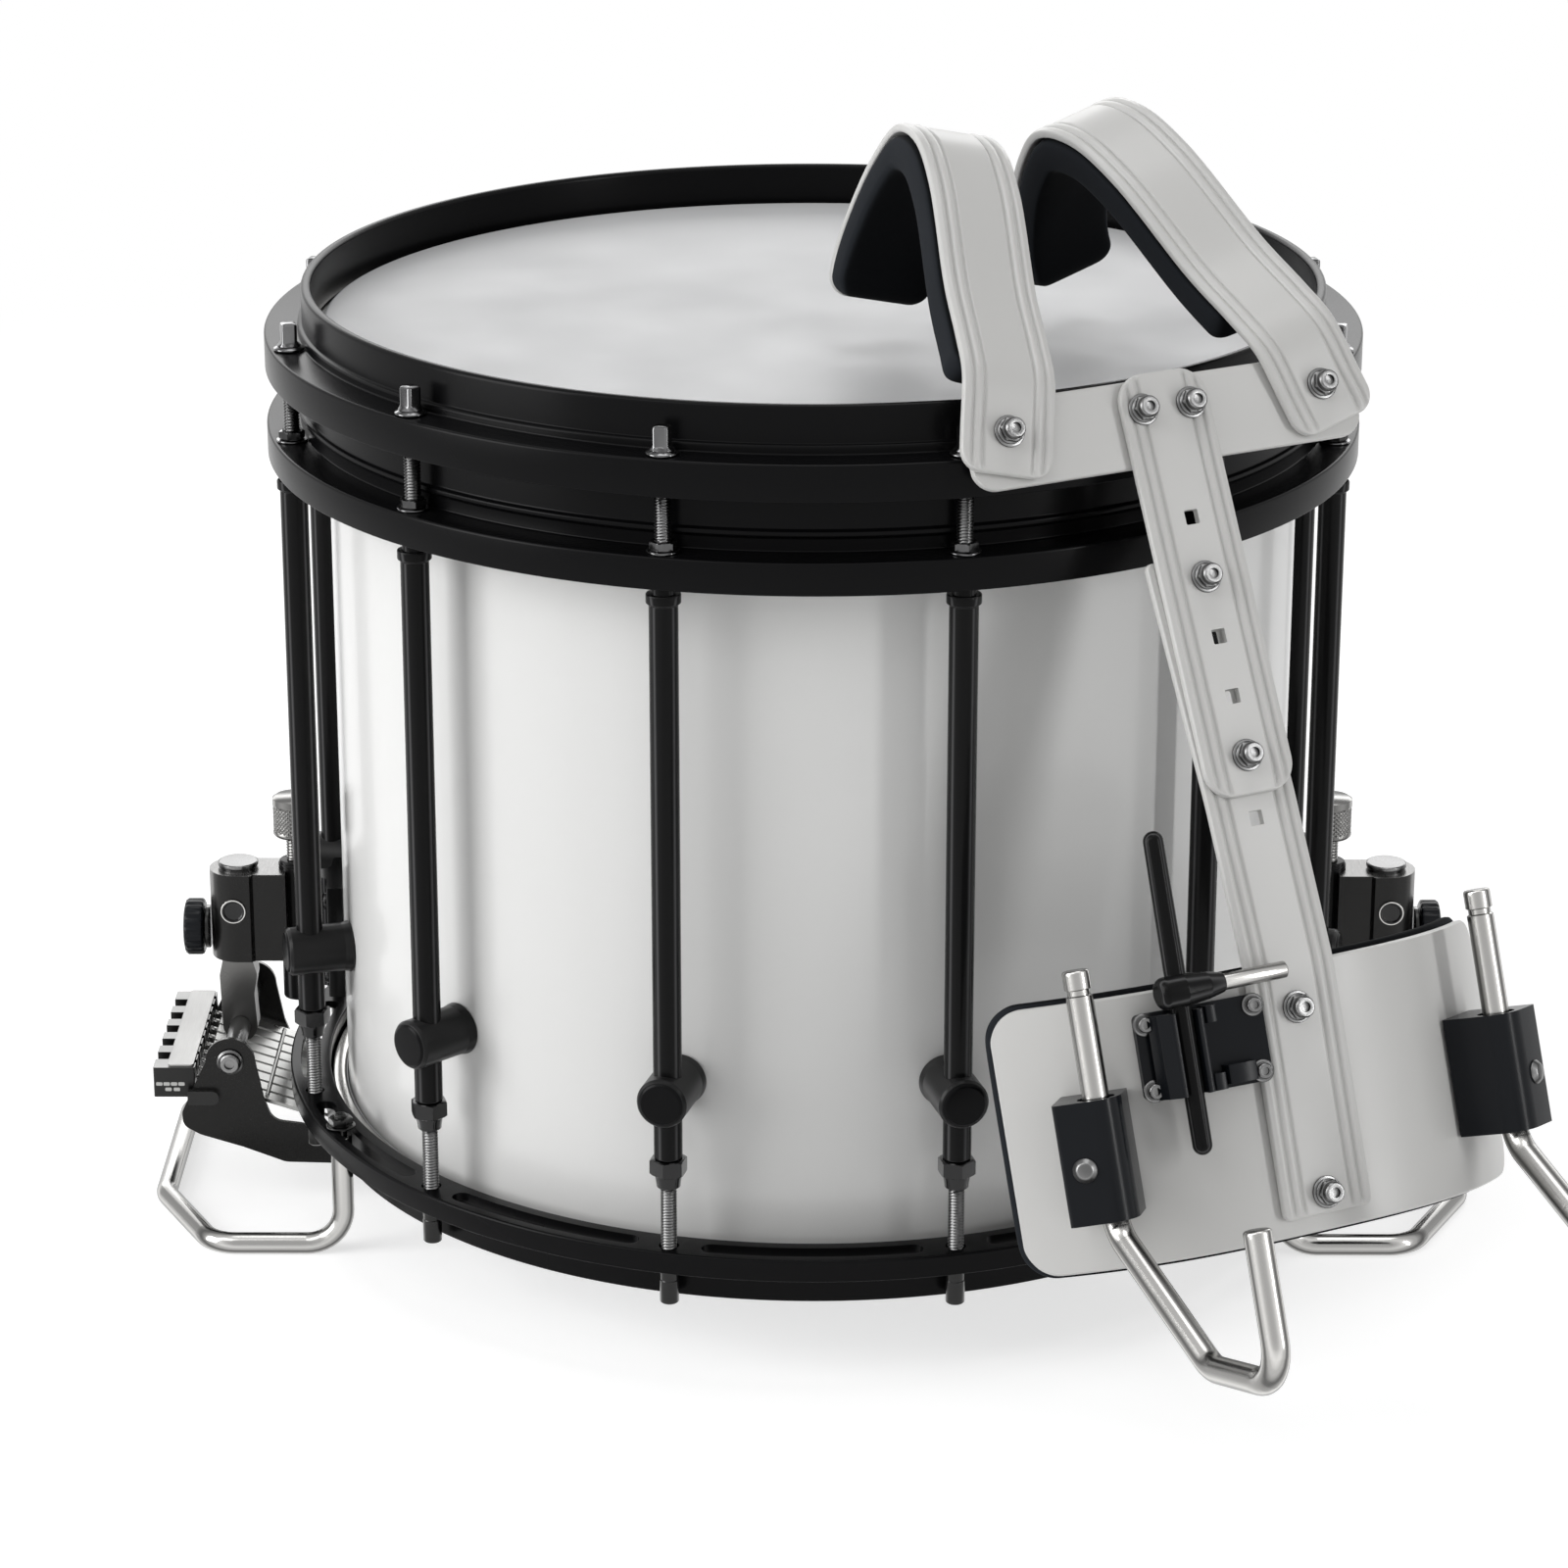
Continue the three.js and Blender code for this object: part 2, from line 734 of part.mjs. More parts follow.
// Guards: a bent rod that hangs in the slots of the snare hoop, with a flat worn where it stands
function makeGuard(side) {
  const barHeight = snareFlange - guardDrop + guardRadius;
  const legTop = snareUnder - fit;
  const rod = new BentRod([
    [side * guardLegX, -guardBarY, legTop],
    [side * guardLegX, -guardBarY, barHeight],
    [side * guardShoulderX, -guardBarY, barHeight],
    [side * guardOuterX, -guardOuterY, barHeight],
    [side * guardOuterX, guardOuterY, barHeight],
    [side * guardShoulderX, guardBarY, barHeight],
    [side * guardLegX, guardBarY, barHeight],
    [side * guardLegX, guardBarY, legTop],
  ], guardBend, 3);
  const nutSeat = snareFlange + fit;
  const fastenings = [-1, 1].flatMap((end) => [
    pillar(studRadius, legTop - overrun, nutSeat + guardNutHeight, 6)
      .translate(side * guardLegX, end * guardBarY, 0),
    pillar(guardNutRadius, nutSeat, nutSeat + guardNutHeight, 6)
      .translate(side * guardLegX, end * guardBarY, 0),
  ]);
  const floor = snareFlange - guardDrop;
  const ground = block(-guardOuterX - 2 * guardRadius, guardOuterX + 2 * guardRadius,
    -guardBarY - 2 * guardRadius, guardBarY + 2 * guardRadius,
    floor - guardRadius, floor + guardFlat);
  return geometryOf(cut(join(alongRod(rod, circle(guardRadius, 8)), ...fastenings), ground));
}

place('guard_left', makeGuard(-1), silver);
place('guard_right', makeGuard(1), silver);

// Strainers are drawn for the right side and turned half round for the left one
function strainerGroup(side) {
  const group = new THREE.Group();
  group.rotation.z = side > 0 ? 0 : Math.PI;
  drum.add(group);
  return group;
}

// Base: a saddle on the shell and the post that the block slides on
function makeStrainerBase() {
  const saddleTop = postTop - (postHeight - saddleHeight) / 2;
  const saddle = solid(block(shellRadius - saddleThickness, postX - postRadius / 2,
    -saddleHalf, saddleHalf, saddleTop - saddleHeight, saddleTop));
  const waist = [-1, 1].map((end) => block(shellRadius + 2 * saddleThickness, postX,
    Math.min(end * postRadius / 2, end * (saddleHalf + overrun)),
    Math.max(end * postRadius / 2, end * (saddleHalf + overrun)),
    saddleTop - saddleHeight - overrun, saddleTop + overrun));
  const drumSide = pillar(shellRadius + fit, saddleTop - saddleHeight - overrun,
    saddleTop + overrun, ringSides);
  const post = pillar(postRadius, postTop - postHeight, postTop, 12).translate(postX, 0, 0);
  return geometryOf(cut(saddle, drumSide, ...waist).add(solid(post)));
}

function makeHeightKnob() {
  const shape = new THREE.Shape();
  for (let i = 0; i < 2 * knurlCount; i += 1) {
    const radius = i % 2 ? knurlRadius : knurlRadius - knurlDepth;
    const angle = Math.PI * i / knurlCount;
    shape[i ? 'lineTo' : 'moveTo'](radius * Math.cos(angle), radius * Math.sin(angle));
  }
  const stem = pillar(knobStemRadius, postTop + fit, postTop + fit + knobStemHeight + overrun, 8);
  const knob = raised(shape, postTop + fit + knobStemHeight, knurlHeight);
  return geometryOf(join(stem, knob).translate([postX, 0, 0]));
}

// Block: round at its outer end, hollow at the post, with a slot below for the arm and a pin across it
function makeStrainerBlock() {
  const foot = blockTop - blockHeight;
  const outline = new THREE.Shape();
  outline.moveTo(postX, -blockNeckHalf);
  outline.lineTo(blockX - blockRadius / 2, -blockNeckHalf);
  outline.lineTo(blockX - blockRadius / 2, -blockRadius);
  outline.absarc(blockX, 0, blockRadius, -Math.PI / 2, Math.PI / 2, false);
  outline.lineTo(blockX - blockRadius / 2, blockRadius);
  outline.lineTo(blockX - blockRadius / 2, blockNeckHalf);
  outline.lineTo(postX, blockNeckHalf);
  const body = solid(raised(outline, foot, blockHeight));
  const seat = pillar(postRadius + fit, foot - overrun, blockTop + overrun, 12).translate(postX, 0, 0);
  const inner = block(postX - postRadius, postX + postRadius / 2, -blockRadius, blockRadius,
    foot - overrun, blockTop + overrun);
  const slot = block(pinX - armEye - slotReach - running, pinX + armEye + slotReach,
    -armHalf - fit, armHalf + fit, foot - overrun, pinHeight + armEye + running);
  const cap = pillar(capRadius, blockTop - overrun, blockTop + capHeight, 16).translate(blockX, 0, 0);
  const pin = barAlongY(pinRadius, -blockRadius, blockRadius, 10).translate(pinX, 0, pinHeight);
  const heads = barAlongY(pinHeadRadius, -blockRadius - pinHeadHeight, blockRadius + pinHeadHeight, 12);
  const headsOnly = cut(solid(heads.translate(pinX, 0, pinHeight)),
    block(pinX - blockRadius, pinX + blockRadius, -blockNeckHalf, blockNeckHalf, foot, blockTop));
  return geometryOf(cut(body, seat, inner, slot).add(solid(cap)).add(solid(pin)).add(headsOnly));
}

function makeTensionKnob() {
  const stemStart = blockX + blockRadius + fit;
  const stem = barAlongX(tensionStemRadius, stemStart, stemStart + tensionStem + overrun, 10);
  const knob = new THREE.LatheGeometry(openPath([
    [0, 0],
    [tensionRadius - edgeRound, 0],
    [tensionRadius, edgeRound],
    [tensionRadius, tensionWidth - 2 * edgeRound],
    [tensionRadius - 2 * edgeRound, tensionWidth],
    [0, tensionWidth],
  ]), 16).rotateZ(-Math.PI / 2).translate(stemStart + tensionStem, 0, 0);
  return geometryOf(join(stem, knob).translate([0, 0, tensionHeight]));
}

// Arm: an eye in the block, a broad lever below it and a foot on the bolt that joins the side plates
function makeArm() {
  const outline = new THREE.Shape();
  const neckFoot = blockTop - blockHeight - running;
  const half = armWidth / 2;
  outline.absarc(pinX, pinHeight, armEye, 0, Math.PI, false);
  outline.lineTo(pinX - armEye, neckFoot);
  outline.lineTo(pivotX - half, neckFoot - half);
  outline.lineTo(pivotX - half + slotReach, pivotHeight + 2 * armFootRadius);
  outline.absarc(pivotX, pivotHeight, armFootRadius, Math.PI, 2 * Math.PI, false);
  outline.lineTo(pivotX + half, pivotHeight + 3 * armFootRadius);
  outline.lineTo(pivotX + half, neckFoot - half);
  outline.lineTo(pinX + armEye, neckFoot);
  const lever = solid(upright(outline, -armHalf, 2 * armHalf));
  const eye = barAlongY(pinRadius + running, -armHalf - overrun, armHalf + overrun, 10)
    .translate(pinX, 0, pinHeight);
  const plateOut = plateY + plateThickness + fit;
  const bolt = barAlongY(pivotRadius, -plateOut - overrun, plateOut + overrun, 8);
  const heads = [-1, 1].map((end) => barAlongY(pivotHeadRadius,
    Math.min(end * plateOut, end * (plateOut + pivotHeadHeight)),
    Math.max(end * plateOut, end * (plateOut + pivotHeadHeight)), 12));
  const across = join(bolt, ...heads).translate([pivotX, 0, pivotHeight]);
  return geometryOf(cut(lever, eye).add(across));
}

// Cradle: side plates that hang on the pivot bolt, joined by the comb and by a bar at their inner feet.
// The comb has a pocket, open above, in which the end bar of the strands lies behind a slotted lip.
function makeCradle() {
  const outline = new THREE.Shape();
  outline.moveTo(pivotX + plateLobe, pivotHeight);
  outline.absarc(pivotX, pivotHeight, plateLobe, 0, Math.PI, false);
  plateShares.forEach(([out, up]) => {
    outline.lineTo(pivotX + out * plateLobe, pivotHeight + up * plateLobe);
  });
  const plates = [-1, 1].map((side) => upright(outline,
    Math.min(side * plateY, side * (plateY + plateThickness)), plateThickness));
  const combOuter = combInner + combLip + combPocket + combWall;
  const combFoot = combTop - combHeight;
  const comb = block(combInner, combOuter, -plateY - overrun / 2, plateY + overrun / 2, combFoot, combTop);
  const barHalfLength = strandBand + strandWidth;
  const pocket = block(combInner + combLip, combInner + combLip + combPocket,
    -barHalfLength - fit, barHalfLength + fit, combTop - combSlotDepth - fit, combTop + overrun);
  const lipSlots = strandPlaces.map((y) => block(combInner - overrun, combInner + combLip + overrun,
    y - strandWidth, y + strandWidth, combTop - combSlotDepth, combTop + overrun));
  const tineStep = 2 * barHalfLength / combTines;
  const tineSlots = Array.from({ length: combTines }, (_, i) => {
    const middle = (i - (combTines - 1) / 2) * tineStep;
    return block(combOuter - combSlotWidth, combOuter + overrun,
      middle - tineStep / 4, middle + tineStep / 4, combTop - combSlotDepth, combTop + overrun);
  });
  const foot = [pivotX + footShares[0] * plateLobe, pivotHeight + footShares[1] * plateLobe];
  const crossBar = barAlongY(crossBarRadius, -plateY - overrun / 2, plateY + overrun / 2, 8)
    .translate(foot[0], 0, foot[1]);
  const holes = barAlongY(pivotRadius + running, -plateY - 2 * overrun, plateY + 2 * overrun, 10)
    .translate(pivotX, 0, pivotHeight);
  const body = join(...plates, comb, crossBar);
  return geometryOf(cut(body, pocket, ...lipSlots, ...tineSlots, holes));
}

// Snare strands: wires under the snare head that rise to the combs, with a bar at each end and thin ribs
function makeStrands() {
  const run = strandFace - strandWidth;
  const endRise = (strandEndX - strandTurnX) * strandRiseShare;
  const wire = polygon([
    [-strandEndX, run + endRise],
    [-strandTurnX, run],
    [strandTurnX, run],
    [strandEndX, run + endRise],
    [strandEndX, run + endRise + strandWidth],
    [strandTurnX, run + strandWidth],
    [-strandTurnX, run + strandWidth],
    [-strandEndX, run + endRise + strandWidth],
  ]);
  const wires = strandPlaces.map((y) => upright(wire, y - strandWidth / 2, strandWidth));
  const across = [-1, 1].flatMap((side) => {
    const barX = side * (combInner + combLip + fit + strandBarWidth / 2);
    const barZ = run + (Math.abs(barX) - strandTurnX) * strandRiseShare;
    const ribZ = run + (ribX - strandTurnX) * strandRiseShare;
    return [
      block(barX - strandBarWidth / 2, barX + strandBarWidth / 2, -strandBand - strandWidth,
        strandBand + strandWidth, barZ - strandBarWidth / 2, barZ + strandBarWidth),
      block(side * ribX - ribWidth / 2, side * ribX + ribWidth / 2, -strandBand - strandWidth,
        strandBand + strandWidth, ribZ - ribWidth / 2, ribZ + strandWidth / 2),
    ];
  });
  return geometryOf(join(...wires, ...across));
}
place('snare_strands', makeStrands(), silver);

const sides = { right: 1, left: -1 };
Object.entries(sides).forEach(([name, side]) => {
  const group = strainerGroup(side);
  place(`strainer_base_${name}`, makeStrainerBase(), blackPaint, group);
  place(`height_knob_${name}`, makeHeightKnob(), silver, group);
  place(`strainer_block_${name}`, makeStrainerBlock(), gunmetal, group);
  place(`tension_knob_${name}`, makeTensionKnob(), blackPlastic, group);
  place(`strainer_arm_${name}`, makeArm(), silver, group);
  place(`strand_cradle_${name}`, makeCradle(), gunmetal, group);
});

// Carrier: in its own frame X runs across it, -Y faces away from the wearer and Z runs up its spine
const carrier = new THREE.Group();
const carrierAngle = radians(carrierAzimuth);
const carrierRadius = shellRadius + carrierStandOff;
carrier.position.set(carrierRadius * Math.sin(carrierAngle), -carrierRadius * Math.cos(carrierAngle),
  carrierHeight);
carrier.rotation.set(-radians(carrierLean), -radians(carrierRoll), radians(carrierTurn), 'ZXY');
drum.add(carrier);

// The front layer of sheet is on the near side of Y zero, and the back layer lies behind it
const frontLayer = -sheet;
const backLayer = fit;

place('carrier_crossbar', upright(
  roundedPlate(-barHalf, barHalf, barTop - barHeight, barTop, barCorner), backLayer, sheet),
whitePaint, carrier);

function squareHoles(rows, fromY) {
  return rows.map((row) => {
    const middle = firstHole - row * holePitch;
    return block(-holeSide / 2, holeSide / 2, fromY - overrun, fromY + sheet + overrun,
      middle - holeSide / 2, middle + holeSide / 2);
  });
}

const upperSlat = solid(upright(
  roundedPlate(-slatHalf, slatHalf, upperSlatFoot, slatTop, slatCorner), frontLayer, sheet));
place('carrier_upper_slat', geometryOf(cut(upperSlat, ...squareHoles(upperHoleRows, frontLayer))),
  whitePaint, carrier);

// Lower slat: behind the upper one, bent back where the belly plate starts
function makeLowerSlat() {
  const bend = radians(bendAngle);
  const back = backLayer + sheet;
  const run = [lowerSlatLength * Math.sin(bend), -lowerSlatLength * Math.cos(bend)];
  const frontRun = [-sheet * Math.cos(bend), -sheet * Math.sin(bend)];
  const profile = polygon([
    [backLayer, lowerSlatTop],
    [backLayer, bendHeight + sheet * Math.tan(bend / 2)],
    [back + run[0] + frontRun[0], bendHeight + run[1] + frontRun[1]],
    [back + run[0], bendHeight + run[1]],
    [back, bendHeight],
    [back, lowerSlatTop],
  ]);
  const strip = solid(sideways(profile, -slatHalf, 2 * slatHalf));
  return geometryOf(cut(strip, ...squareHoles(lowerHoleRows, backLayer)));
}
place('carrier_lower_slat', makeLowerSlat(), whitePaint, carrier);

// Shoulder straps: an arch of bent sheet on one bolt each, with a foam pad under it.
// A strap is drawn upright on its bolt, with the arch in Y and Z.
const archPath = new THREE.CatmullRomCurve3([
  new THREE.Vector3(0, -fit, -strapTail),
  new THREE.Vector3(0, -fit, 0),
  new THREE.Vector3(0, -fit, strapFlat),
  ...archShares.map(([back, up]) => new THREE.Vector3(0, back * archDepth, up * archHeight)),
]);

function archFrame(share) {
  const middle = archPath.getPointAt(share);
  const along = archPath.getTangentAt(share);
  return { middle, outward: new THREE.Vector3(0, -along.z, along.y) };
}

// Rings of points, skinned into one closed body
function loft(rings) {
  const count = rings[0].length;
  const points = rings.flat();
  const faces = [];
  for (let ring = 0; ring < rings.length - 1; ring += 1) {
    for (let k = 0; k < count; k += 1) {
      const a = ring * count + k;
      const b = ring * count + (k + 1) % count;
      faces.push(a, b + count, b, a, a + count, b + count);
    }
  }
  [0, rings.length - 1].forEach((ring) => {
    const centre = new THREE.Vector3();
    rings[ring].forEach((point) => centre.addScaledVector(point, 1 / count));
    points.push(centre);
    for (let k = 0; k < count; k += 1) {
      const a = ring * count + k;
      const b = ring * count + (k + 1) % count;
      faces.push(...(ring ? [b, a, points.length - 1] : [a, b, points.length - 1]));
    }
  });
  const geometry = new THREE.BufferGeometry();
  geometry.setAttribute('position', new THREE.Float32BufferAttribute(points.flatMap((p) => p.toArray()), 3));
  geometry.setIndex(faces);
  geometry.computeVertexNormals();
  return geometry;
}

function makeStrap() {
  const length = archPath.getLength();
  const rings = Array.from({ length: strapSteps + 1 }, (_, i) => {
    const share = i / strapSteps;
    const { middle, outward } = archFrame(share);
    const toEnd = Math.min(share, 1 - share) * length;
    const inset = Math.max(strapCorner - toEnd, 0);
    const half = strapHalf - strapCorner + Math.sqrt(strapCorner ** 2 - inset ** 2);
    const corner = (x, out) => middle.clone().addScaledVector(outward, out).setX(x);
    return [corner(-half, 0), corner(half, 0), corner(half, sheet), corner(-half, sheet)];
  });
  return loft(rings);
}

// A cushion section: a flat oval with full sides, drawn in towards both ends of the cushion
function padRing(middle, across, outward, half, depth, drawn) {
  return Array.from({ length: padSides }, (_, k) => {
    const angle = 2 * Math.PI * k / padSides;
    const x = Math.sign(Math.cos(angle)) * Math.abs(Math.cos(angle)) ** padFullnessShare;
    const y = Math.sign(Math.sin(angle)) * Math.abs(Math.sin(angle)) ** padFullnessShare;
    return middle.clone()
      .addScaledVector(across, half * drawn * x)
      .addScaledVector(outward, depth / 2 * drawn * y);
  });
}

// Share of the full section that is left at each share of the cushion's length
function drawnIn(share) {
  return (1 - Math.abs(2 * share - 1) ** padEndPower) ** (1 / padEndPower);
}

// Places of the rings along a cushion, closer together towards its ends
function padShare(step, steps, margin) {
  return margin + (1 - 2 * margin) * (1 - Math.cos(Math.PI * step / steps)) / 2;
}

function makeShoulderPad() {
  const rings = Array.from({ length: padSteps + 1 }, (_, i) => {
    const share = padShare(i, padSteps, padEndMarginShare);
    const { middle, outward } = archFrame(padStartShare + (padEndShare - padStartShare) * share);
    const centre = middle.clone().addScaledVector(outward, -running - padThickness / 2);
    return padRing(centre, new THREE.Vector3(1, 0, 0), outward, padHalf, padThickness, drawnIn(share));
  });
  return loft(rings);
}

Object.entries(sides).forEach(([name, side]) => {
  const strap = new THREE.Group();
  strap.position.set(side * strapBoltX, 0, -strapBoltDrop);
  strap.rotation.y = -side * radians(strapSwing);
  carrier.add(strap);
  place(`shoulder_strap_${name}`, makeStrap(), whitePaint, strap);
  place(`shoulder_pad_${name}`, makeShoulderPad(), foam, strap);
});

// Belly section: its frame starts at the bend of the lower slat and lies on the slat's back face
const belly = new THREE.Group();
belly.position.set(0, backLayer + sheet, bendHeight);
belly.rotation.x = radians(bendAngle);
carrier.add(belly);

// The plate's curve, flat at the spine and steeper towards its sides: the sag grows with the cube of X
function bellyPoint(x, behind) {
  const slope = 3 * bellySag / bellyHalf * (x / bellyHalf) * Math.abs(x / bellyHalf);
  const length = Math.hypot(slope, 1);
  const sag = bellySag * Math.abs(x / bellyHalf) ** 3;
  const normal = new THREE.Vector3(-slope / length, 1 / length, 0);
  return { point: new THREE.Vector3(x, fit + sag, 0).addScaledVector(normal, behind), normal };
}

function makeBellyPlate() {
  const across = Array.from({ length: bellySteps + 1 }, (_, i) => (2 * i / bellySteps - 1) * bellyHalf);
  const front = across.map((x) => bellyPoint(x, 0).point);
  const back = across.map((x) => bellyPoint(x, sheet).point).reverse();
  const band = polygon([...front, ...back].map((p) => [p.x, p.y]));
  const outline = upright(roundedPlate(-bellyHalf - sheet, bellyHalf + sheet,
    -bellyHeight, 0, bellyCorner), -overrun, bellySag + 2 * sheet + 2 * overrun, 3);
  return geometryOf(solid(raised(band, -bellyHeight - overrun, bellyHeight + 2 * overrun))
    .intersect(solid(outline)));
}

function makeBellyPad() {
  const half = bellyHalf + bellyPadMargin;
  const depth = bellyPadThickness;
  const rings = Array.from({ length: bellySteps + 1 }, (_, i) => {
    const share = padShare(i, bellySteps, padEndMarginShare / 2);
    const { point, normal } = bellyPoint((2 * share - 1) * half, sheet + fit + depth / 2);
    point.setZ(-bellyHeight / 2);
    return padRing(point, new THREE.Vector3(0, 0, 1), normal, bellyHeight / 2 + bellyPadMargin, depth,
      drawnIn(share));
  });
  return loft(rings);
}

place('belly_plate', makeBellyPlate(), whitePaint, belly);
place('belly_pad', makeBellyPad(), foam, belly);

// Rod holders: a block on the plate's curve with a bore for the hook rod
function makeHolder(side) {
  const seat = bellyPoint(side * holderSeatX, 0);
  const depth = holderDepth;
  const turn = Math.atan2(seat.normal.x, seat.normal.y);
  const body = new THREE.Shape();
  body.moveTo(-holderHalf, -fit);
  body.lineTo(holderHalf, -fit);
  body.lineTo(holderHalf, -depth + holderCorner);
  body.lineTo(holderHalf - holderCorner, -depth);
  body.lineTo(holderCorner - holderHalf, -depth);
  body.lineTo(-holderHalf, -depth + holderCorner);
  const blockBody = raised(body, holderTop - holderHeight, holderHeight)
    .rotateZ(-turn)
    .translate(seat.point.x, seat.point.y, 0);
  const bore = pillar(jRadius + running, holderTop - holderHeight - overrun, holderTop + overrun, 16)
    .translate(side * rodX, -rodOut, 0);
  return geometryOf(cut(solid(blockBody), bore));
}

// Hook rods: straight in the holder, then out and up again in a J
function makeHookRod(side) {
  const x = side * rodX;
  const rod = new BentRod([
    [x, -rodOut, jTop],
    [x, -rodOut, jKnee],
    [x, -jHeelOut, jHeelDrop],
    [x, -jTipOut, jBottom],
    [x, -jTipOut, jTipTop],
  ], jBend, 3);
  const grooveTop = jTop - jGrooveDrop;
  const collar = pillar(jRadius + overrun, grooveTop - jGrooveWidth / 2, grooveTop, 12)
    .translate(x, -rodOut, 0);
  const core = pillar(jRadius - jGroove, grooveTop - jGrooveWidth, grooveTop + jGrooveWidth, 10)
    .translate(x, -rodOut, 0);
  const groove = solid(collar).subtract(solid(core));
  return geometryOf(solid(alongRod(rod, circle(jRadius, 8))).subtract(groove));
}

Object.entries(sides).forEach(([name, side]) => {
  place(`rod_holder_${name}`, makeHolder(side), blackPlastic, belly);
  place(`hook_rod_${name}`, makeHookRod(side), silver, belly);
});

// Clamp: a flat plate beside the spine with a raised channel for the T rod
function makeClamp() {
  const seat = bellyPoint(clampX, 0);
  const turn = Math.atan2(seat.normal.x, seat.normal.y);
  const plate = upright(roundedPlate(-clampHalf, clampHalf, clampTop - clampHeight, clampTop,
    clampCorner), -clampRise - clampThickness, clampThickness, 3)
    .rotateZ(-turn)
    .translate(seat.point.x, seat.point.y, 0);
  const packing = block(-clampHalf + fit, clampHalf - packingShort, -clampRise - clampThickness / 2, -fit,
    clampTop - clampHeight + fit, clampTop - fit)
    .rotateZ(-turn)
    .translate(seat.point.x, seat.point.y, 0);
  const channel = block(tRodX - channelHalf, tRodX + channelHalf, -tRodOut - channelFront,
    seat.point.y - fit, clampTop - clampHeight + channelInset, clampTop - channelInset);
  const bore = pillar(tRodRadius + running, clampTop - clampHeight - overrun, clampTop + overrun, 12)
    .translate(tRodX, -tRodOut, 0);
  return geometryOf(cut(join(plate, packing, channel), bore));
}
place('rod_clamp', makeClamp(), blackPlastic, belly);

// T rod: it stands in the clamp on its cross sleeve, and a pin reaches over the spine
function makeTRod() {
  const rod = turned([
    [0, tRodFoot],
    [tRodTip, tRodFoot],
    [tRodRadius, tRodFoot + 2 * tRodRadius],
    [tRodRadius, sleeveHeight],
    [tRodWaist, sleeveHeight],
    [tRodWaist, sleeveHeight + 2 * sleeveRadius],
    [tRodTip, tRodTop - tRodTip],
    [tRodTip / 2, tRodTop],
    [0, tRodTop],
  ], 12).translate(tRodX, -tRodOut, 0);
  const sleeve = barAlongX(sleeveRadius, sleeveLeft, sleeveRight, 14);
  const pin = barAlongX(crossPinRadius, sleeveRight - overrun, crossPinEnd, 10);
  const across = join(sleeve, pin).translate([0, -sleeveOut, sleeveHeight]);
  return geometryOf(solid(rod).add(across));
}
place('t_rod', makeTRod(), blackPlastic, belly);

export default drum;
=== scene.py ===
# Marching snare drum with its shoulder carrier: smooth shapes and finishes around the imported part.
# Sizes are in millimetres, in the part's own frame, and become metres when a mesh is made.
import math
import bmesh
import bpy
import numpy as np
from mathutils import Matrix, Vector
from mathutils.geometry import tessellate_polygon


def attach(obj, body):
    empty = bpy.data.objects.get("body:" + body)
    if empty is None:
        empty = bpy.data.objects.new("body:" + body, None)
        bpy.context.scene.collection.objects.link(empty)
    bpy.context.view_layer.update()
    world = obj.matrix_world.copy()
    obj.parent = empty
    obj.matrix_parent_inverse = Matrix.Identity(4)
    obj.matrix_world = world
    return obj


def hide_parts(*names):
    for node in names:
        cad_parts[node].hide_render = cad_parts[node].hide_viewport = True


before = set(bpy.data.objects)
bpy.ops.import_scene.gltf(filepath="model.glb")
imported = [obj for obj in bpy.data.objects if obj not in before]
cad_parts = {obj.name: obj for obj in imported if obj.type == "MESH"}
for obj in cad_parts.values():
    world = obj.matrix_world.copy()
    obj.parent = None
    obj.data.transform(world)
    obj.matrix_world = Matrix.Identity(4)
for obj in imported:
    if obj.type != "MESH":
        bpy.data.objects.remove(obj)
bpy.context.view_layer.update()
print("frame loaded")

mm = 0.001

# Camera of the photograph
view = {"lens": 110.859, "sensor": 36, "place": (-3.759, -1721.679, 429.2), "down": 0.342, "turn": 0.004}
camera = bpy.data.objects.new("camera", bpy.data.cameras.new("camera"))
camera.data.lens = view["lens"]
camera.data.sensor_width = view["sensor"]
camera.data.clip_start, camera.data.clip_end = 0.05, 50
camera.location = Vector(view["place"]) * mm
camera.rotation_euler = (math.pi / 2 - view["down"], 0, view["turn"])
bpy.context.scene.collection.objects.link(camera)
bpy.context.scene.camera = camera
bpy.context.scene.view_settings.view_transform = "Standard"


# Shape tools

def gridFaces(rows, columns, closeRows=False, closeColumns=False):
    # one quad between each pair of neighbouring rows and columns; a closed direction joins its last line to
    # its first
    i = np.arange(rows if closeRows else rows - 1)[:, None]
    j = np.arange(columns if closeColumns else columns - 1)[None, :]
    a, b = i * columns + j, i * columns + (j + 1) % columns
    c, d = (i + 1) % rows * columns + (j + 1) % columns, (i + 1) % rows * columns + j
    return np.stack([a, b, c, d], -1).reshape(-1, 4).tolist()


